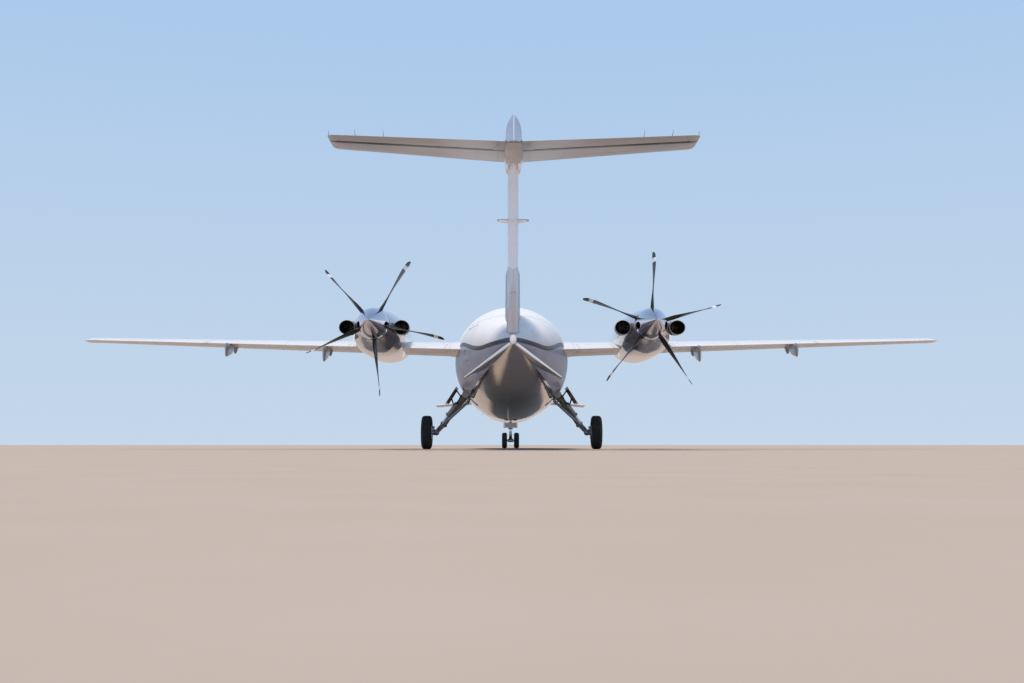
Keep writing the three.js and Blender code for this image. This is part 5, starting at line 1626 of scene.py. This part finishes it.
leg_enamel = Finish("leg_enamel", Coat_Weight=0.3, Coat_Roughness=0.2)
chip = leg_enamel.noise(45.0, 8.0)
oil = leg_enamel.noise(9.0, 5.0).ramp(0.5, 0.75)
tone = leg_enamel.layers(
    leg_enamel.mix(chip, (0.24, 0.24, 0.25), (0.36, 0.36, 0.37)),
    (chip.ramp(0.66, 0.72) * 0.8, (0.35, 0.35, 0.36)), (oil * 0.4, (0.03, 0.025, 0.02)),
)
leg_enamel.surface(Base_Color=tone, Roughness=0.42 - oil * 0.15, Metallic=0.5)
leg_enamel.bump(chip, 0.0012, 0.4)
bright_steel = Finish("bright_steel", Metallic=1.0)
bright_steel.mottled(
    (0.6, 0.61, 0.63), (0.82, 0.83, 0.85), (150.0, 3.0, (1.0, 1.0, 0.1)), (0.0004, 0.3), rough=(0.12, 0.12),
)


def collar(start, end, share, radius, width, points=28):
    """A raised band round a bar, part of the way along it."""
    start, end = Vector(start), Vector(end)
    line = (end - start).normalized()
    middle = start.lerp(end, share)
    return rod("collar", middle - line * width / 2, middle + line * width / 2, radius, points=points)


def ball(name, place, radius):
    work = bmesh.new()
    bmesh.ops.create_uvsphere(work, u_segments=24, v_segments=14, radius=radius)
    bmesh.ops.translate(work, vec=place, verts=work.verts)
    return worked(name, work)


def pipe_along(name, path, radius, points=10):
    """A thin pipe through several points, turned smoothly at each of them."""
    table = [(float(k), *place) for k, place in enumerate(path)]
    rings = []
    steps = spread(0.0, len(path) - 1.0, (len(path) - 1) * 6)
    for step in steps:
        place = Vector(smooth_row(table, step))
        ahead = Vector(smooth_row(table, min(steps[-1], step + 0.05)))
        behind = Vector(smooth_row(table, max(0.0, step - 0.05)))
        line = (ahead - behind).normalized()
        across = line.cross(Vector((0.3, 0.2, 1.0))).normalized()
        rings.append(round_ring(place, across, line.cross(across), radius, points))
    return loft(name, rings)


strut_top, strut_middle, strut_foot = at(0.905, 7.9, 0.755), at(1.065, 7.8, 0.56), at(1.225, 7.745, 0.33)
brace_top, brace_foot = at(0.7, 8.06, 0.8), at(1.235, 7.8, 0.33)


def axle_line(first, last):
    """The ends of a piece on the starboard axle."""
    return at(first, MAIN_AXLE_STATION, MAIN_RADIUS), at(last, MAIN_AXLE_STATION, MAIN_RADIUS)


def knee_line(first, last):
    return at(first, KNEE_STATION, KNEE_HEIGHT), at(last, KNEE_STATION, KNEE_HEIGHT)


leg_parts = [
    rod("leg", LEG_TOP, KNEE, 0.058, 0.043, 32),
    collar(LEG_TOP, KNEE, 0.12, 0.064, 0.07),
    collar(LEG_TOP, KNEE, 0.5, 0.056, 0.04),
    collar(LEG_TOP, KNEE, 0.9, 0.05, 0.06),
    rod("trunnion", at(0.76, 7.801, 0.905), at(0.76, 8.129, 0.905), 0.06, points=32),
    ball("knuckle", LEG_TOP, 0.066),
    ball("knee", KNEE, 0.058),
    rod("knee_pin", *knee_line(1.1, 1.2), 0.036),
    rod("knee_pin_head", *knee_line(1.098, 1.112), 0.048),
    rod("knee_pin_nut", *knee_line(1.188, 1.202), 0.046, points=6),
    rod("trailing_arm", KNEE, AXLE_START, 0.043, 0.038, 28),
    ball("arm_end", AXLE_START, 0.052),
    rod("axle_hub", *axle_line(1.225, 1.318), 0.046, points=32),
    rod("strut_barrel", strut_top, strut_middle, 0.043, points=32),
    collar(strut_top, strut_middle, 0.1, 0.05, 0.03),
    collar(strut_top, strut_middle, 0.96, 0.052, 0.024),
    rod("brace", brace_top, brace_foot, 0.022, points=20),
    collar(brace_top, brace_foot, 0.06, 0.029, 0.04),
    collar(brace_top, brace_foot, 0.94, 0.029, 0.05),
    rod("brace_hanger", brace_top, at(0.76, 8.06, 0.905), 0.024, points=20),
    rod("lock_link", at(0.86, 8.0, 0.73), at(0.93, 7.85, 0.62), 0.016, points=16),
    rod("lock_link_low", at(0.93, 7.85, 0.62), at(1.0, 7.76, 0.62), 0.014, points=16),
]
piston_parts = [
    rod("piston", strut_middle, strut_foot, 0.0265, points=32),
    collar(strut_middle, strut_foot, 0.93, 0.034, 0.05),
    rod("axle", *axle_line(1.3, 1.482), 0.0255, points=28),
    pipe_along("brake_pipe", [
        at(0.78, 8.03, 0.86), at(0.88, 7.86, 0.795), at(1.0, 7.75, 0.655), at(1.13, 7.63, 0.49), at(1.19, 7.61, 0.43),
        at(1.23, 7.7, 0.36), at(1.262, 7.75, 0.335),
    ], 0.007),
]
for name, parts, finish in (("arms", leg_parts, leg_enamel), ("bright", piston_parts, bright_steel)):
    fit_both(joined(f"main_leg_{name}_right", parts), finish, "airframe", ["main_leg_right"])

# Leg doors: flat metal panels with a pressed edge and three round stiffeners, painted dark. Two short links
# hold each one out beyond its leg.
door_paint = Finish("leg_door_paint", Metallic=0.3, Coat_Weight=0.8, Coat_Roughness=0.05)
door_paint.mottled((0.06, 0.063, 0.075), (0.12, 0.12, 0.13), (12.0, 6.0), (0.0008, 0.3), rough=(0.28, 0.2))
plate_rings = []
top, low = Vector((0.907, 1.023)), Vector((1.086, 0.742))
along = (low - top).normalized()
normal = Vector((-along.y, along.x)) * 0.0055
for station, inset in ((7.56, 0.012), (7.565, 0.003), (7.575, 0.0), (8.245, 0.0), (8.255, 0.003), (8.26, 0.012)):
    first, last = top + along * inset, low - along * inset
    corners = (first - normal, first + normal, last + normal, last - normal)
    plate_rings.append([at(corner.x, station, corner.y) for corner in corners])
door_parts = [loft("plate", plate_rings)]
for s in (7.66, 7.9, 8.14):
    door_parts.append(rod("stiffener", at(0.928, s, 0.985), at(1.068, s, 0.764), 0.012, points=12))
door_parts.append(rod("link", at(0.925, 7.88, 0.985), at(0.818, 7.891, 0.832), 0.0115))
door_parts.append(rod("link", at(1.01, 7.755, 0.855), at(0.955, 7.755, 0.662), 0.0115))
fit_both(joined("leg_door_right", door_parts), door_paint, "airframe", ["gear_door_right"])

# Main wheels: ribbed rubber tyres with four grooves on two-part alloy wheels, bolted round the middle. The
# brake's discs sit in a housing inboard of each wheel.
MAIN_WIDTH = 0.175
MAIN_BEAD = 0.132
MAIN_GROOVES = (-0.36, -0.12, 0.12, 0.36)
tyre_rubber = Finish("tyre_rubber")
fleck = tyre_rubber.noise(160.0, 6.0)
dust = tyre_rubber.noise(7.0, 5.0).ramp(0.4, 0.75)
tyre_rubber.surface(Base_Color=tyre_rubber.layers(
    tyre_rubber.mix(fleck, (0.012, 0.012, 0.013), (0.032, 0.032, 0.033)), (dust * 0.18, (0.16, 0.14, 0.12)),
), Roughness=0.75 + fleck * 0.2)
tyre_rubber.bump(fleck, 0.0012, 0.5)
wheel_alloy = Finish("wheel_alloy", Metallic=0.8)
cast = wheel_alloy.noise(70.0, 6.0)
brake_dust = wheel_alloy.noise(9.0, 5.0).ramp(0.4, 0.8)
wheel_alloy.surface(Base_Color=wheel_alloy.layers(
    wheel_alloy.mix(cast, (0.5, 0.5, 0.52), (0.68, 0.68, 0.7)), (brake_dust * 0.5, (0.12, 0.1, 0.09)),
), Roughness=0.3 + brake_dust * 0.3)
wheel_alloy.bump(cast, 0.0012, 0.4)


def wheel_lathe(name, profile, centre, points=72):
    """A turned piece about a sideways axle; the profile closes on itself."""
    corners = [
        Vector(centre) + Vector((across, radius * cosine, radius * sine))
        for cosine, sine in circle(points) for radius, across in profile
    ]
    count = len(profile)
    faces = []
    for k in range(points):
        a, b = k * count, (k + 1) % points * count
        for j in range(count):
            after = (j + 1) % count
            faces.append((a + j, a + after, b + after, b + j))
    return shape_piece(name, corners, faces)


MAIN_GROOVE, NOSE_GROOVE = (0.007, 0.004), (0.005, 0.003)  # depth, half width
TYRE_WALL = (
    # share of the wall's height over the bead, share of the half width
    (0.0, 0.6), (0.04, 0.68), (0.2, 0.88), (0.42, 0.985), (0.55, 1.0), (0.7, 0.965), (0.83, 0.88), (0.92, 0.76),
)


def tyre(name, radius, width, bead, centre, grooves):
    half = width / 2
    wall = radius - bead
    deep, wide = MAIN_GROOVE if radius == MAIN_RADIUS else NOSE_GROOVE
    side = [(bead + wall * rise, share) for rise, share in TYRE_WALL] + [(radius - wall * 0.03, 0.62)]
    profile = [(r, -share * half) for r, share in side]
    for place in grooves:
        middle = place * half
        profile += [
            (radius, middle - wide), (radius - deep, middle - wide * 0.6), (radius - deep, middle + wide * 0.6),
            (radius, middle + wide),
        ]
    profile += [(r, share * half) for r, share in reversed(side)]
    return wheel_lathe(name, profile, centre)


def wheel(name, bead, width, bore, centre, bolts, bolt_circle):
    """A dished alloy wheel with its rims turned up to hold the tyre, and its bolts."""
    half = width / 2
    side = [
        (bore, 0.62), (bead * 0.34, 0.66), (bead * 0.38, 0.42), (bead * 0.72, 0.34), (bead * 0.8, 0.5),
        (bead * 0.84, 0.86), (bead * 0.92, 0.98), (bead - 0.001, 1.0),
    ]
    profile = [(r, -share * half) for r, share in side]
    profile += [(bead - 0.001, -half * 0.5), (bead - 0.001, half * 0.5)]
    profile += [(r, share * half) for r, share in reversed(side)]
    parts = [wheel_lathe("disc", profile, centre)]
    reach = Vector((half * 0.5, 0, 0))
    for cosine, sine in circle(bolts):
        spot = Vector(centre) + Vector((0, bolt_circle * cosine, bolt_circle * sine))
        parts.append(rod("bolt", spot - reach, spot + reach, bead * 0.05, points=6))
    return joined(name, parts)


BRAKE = [
    # radius, distance outboard
    (0.05, -0.03), (0.105, -0.026), (0.112, -0.012), (0.112, 0.0), (0.104, 0.008), (0.05, 0.008),
]
CYLINDERS = (0.5, 1.6, 2.7)
CYLINDER_CIRCLE = 0.085
for key, side in SIDES:
    centre = at(side * TRACK_HALF, MAIN_AXLE_STATION, MAIN_RADIUS)
    ribbed = tyre(f"main_tyre_ribbed_{key}", MAIN_RADIUS, MAIN_WIDTH, MAIN_BEAD, centre, MAIN_GROOVES)
    fit(ribbed, tyre_rubber, f"main_wheel_{key}", [f"main_tyre_{key}"], sharp=50)
    hub = wheel("hub", MAIN_BEAD, 0.126, 0.027, centre, 9, 0.078)
    cap_ends = axle_line(side * (TRACK_HALF + 0.038), side * (TRACK_HALF + 0.066))
    dust_cap = rod("dust_cap", *cap_ends, 0.04, 0.03, 28)
    hub_piece = joined(f"main_hub_{key}", [hub, dust_cap])
    fit(hub_piece, wheel_alloy, f"main_wheel_{key}", [f"main_rim_{key}"])
    brake_parts = [wheel_lathe("housing", BRAKE, at(side * 1.342, MAIN_AXLE_STATION, MAIN_RADIUS), 48)]
    for turn in CYLINDERS:
        around = Vector((0, -math.cos(turn), math.sin(turn))) * CYLINDER_CIRCLE
        brake_parts.append(rod("cylinder", *(end + around for end in axle_line(side * 1.29, side * 1.32)), 0.02))
    fit(joined(f"brake_{key}", brake_parts), leg_enamel, "airframe")

# Nose gear: an upright sprung strut with a side-to-side pivot and a drag brace, all in dark enamel. In its foot
# turns the steered fork of bright steel, with twin wheels on one axle.
NOSE_LEG = 1.988
NOSE_WHEEL = 2.0
NOSE_RADIUS = 0.168
NOSE_OUT = 0.13
STRUT_FOOT, STRUT_JOINT, STRUT_HEAD = (at(0, NOSE_LEG, z) for z in (0.41, 0.5, 0.93))


def nose_axle(reach):
    return [at(x, NOSE_WHEEL, NOSE_RADIUS) for x in (-reach, reach)]


nose_upper = joined("nose_strut_body", [
    rod("strut", STRUT_JOINT, STRUT_HEAD, 0.0455, points=32),
    rod("strut_low", STRUT_FOOT, STRUT_JOINT, 0.0455, points=32),
    collar(STRUT_FOOT, STRUT_HEAD, 0.02, 0.05, 0.02),
    collar(STRUT_FOOT, STRUT_HEAD, 0.22, 0.052, 0.03),
    rod("drag_brace", at(0, 1.5, 0.8), at(0, NOSE_LEG, 0.52), 0.019, points=20),
    rod("brace_pivot", at(-0.149, 1.5, 0.8), at(0.149, 1.5, 0.8), 0.025, points=24),
    rod("steering_jack", at(0.05, NOSE_LEG - 0.03, 0.47), at(0.05, NOSE_LEG - 0.16, 0.5), 0.016, points=16),
])
fit(nose_upper, leg_enamel, "airframe", ["nose_strut"])
fork = joined("nose_fork_bright", [
    rod("piston", at(0, NOSE_LEG, 0.4092), at(0, NOSE_LEG, 0.2), 0.032, points=32),
    rod("knuckle", at(0, NOSE_LEG, 0.235), at(0, NOSE_LEG, 0.15), 0.037, points=28),
    rod("axle_tube", *nose_axle(0.056), 0.038, points=28),
    *(rod("link_high", at(x, 2.03, 0.36), at(x, 2.09, 0.27), 0.008, points=14) for x in (-0.016, 0.016)),
    rod("link_pin", at(-0.024, 2.09, 0.27), at(0.024, 2.09, 0.27), 0.009, points=16),
    rod("link_low", at(0, 2.09, 0.27), at(0, 2.02, 0.19), 0.011, points=14),
])
fit(fork, bright_steel, "nose_fork", ["nose_fork"])
hubs = []
for key, side in SIDES:
    centre = at(side * NOSE_OUT, NOSE_WHEEL, NOSE_RADIUS)
    ribbed = tyre(f"nose_tyre_ribbed_{key}", NOSE_RADIUS, 0.112, 0.066, centre, (-0.25, 0.25))
    fit(ribbed, tyre_rubber, "nose_wheels", [f"nose_tyre_{key}"], sharp=50)
    hubs.append(wheel("hub", 0.066, 0.09, 0.002, centre, 6, 0.038))
hubs.append(rod("axle", *nose_axle(NOSE_OUT), 0.019, points=24))
fit(joined("nose_hubs", hubs), wheel_alloy, "nose_wheels", ["nose_rims"])

# Nose doors: two leaves that hang beside the wheel well, and a small plate behind the strut, held on it by
# four short brackets.
NOSE_LEAF = rounded(rectangle((1.41, 2.02), (0.44, 0.72)), 0.05)
leaf_parts = [
    block("rear_plate", (-0.13, 2.047, 0.44), (0.13, 2.053, 0.6)),
    rod("cross_rod", at(-0.144, 1.44, 0.69), at(0.144, 1.44, 0.69), 0.009),
]
for x in (-0.03, 0.03):
    for z in (0.46, 0.54):
        leaf_parts.append(block("bracket", (x - 0.012, 2.02, z), (x + 0.012, 2.048, z + 0.02)))
for side in (1, -1):
    leaf_parts.append(side_prism("nose_leaf", NOSE_LEAF, side * 0.1375, side * 0.1492))
    for s in (1.52, 1.9):
        leaf_parts.append(rod("goose_neck", at(side * 0.1435, s, 0.70), at(side * 0.1435, s, 0.76), 0.009, points=12))
nose_door_paint = airframe_paint("nose_door_paint", 1.0, (3.0,), ((1.7, 1.7),))
fit(joined("nose_doors", leaf_parts), nose_door_paint, "airframe", ["nose_gear_doors"])

# Belly aerial: a raked blade under the rear fuselage. With it small heated probes on each side of the nose,
# and the round steel jacking pad under it.
blade_rings = [
    [at(-0.06 + half * sine, 9.0 + chord * 0.5 * cosine + drop * 0.35, 0.66 - drop) for cosine, sine in circle(24)]
    for drop, chord, half in ((0.0, 0.19, 0.009), (0.12, 0.14, 0.0075), (0.19, 0.112, 0.0055), (0.205, 0.09, 0.003))
]
fit(loft("belly_aerial", blade_rings), moulded_grey, "airframe")
probes = []
for side in (1, -1):
    foot, tip = at(side * 0.4, 1.3, 0.86), at(side * 0.47, 1.3, 0.82)
    probes.append(rod("probe_foot", foot, tip, 0.012, 0.008))
    probes.append(rod("probe", tip - Vector((0, 0.02, 0)), tip + Vector((0, 0.11, 0)), 0.007, 0.004))
fit(joined("nose_probes", probes), bright_steel, "airframe")
jack_pad = rod("nose_jack_pad", at(0, 1.06, 0.67), at(0, 1.06, 0.72), 0.034, 0.04)
fit(jack_pad, bright_steel, "airframe")
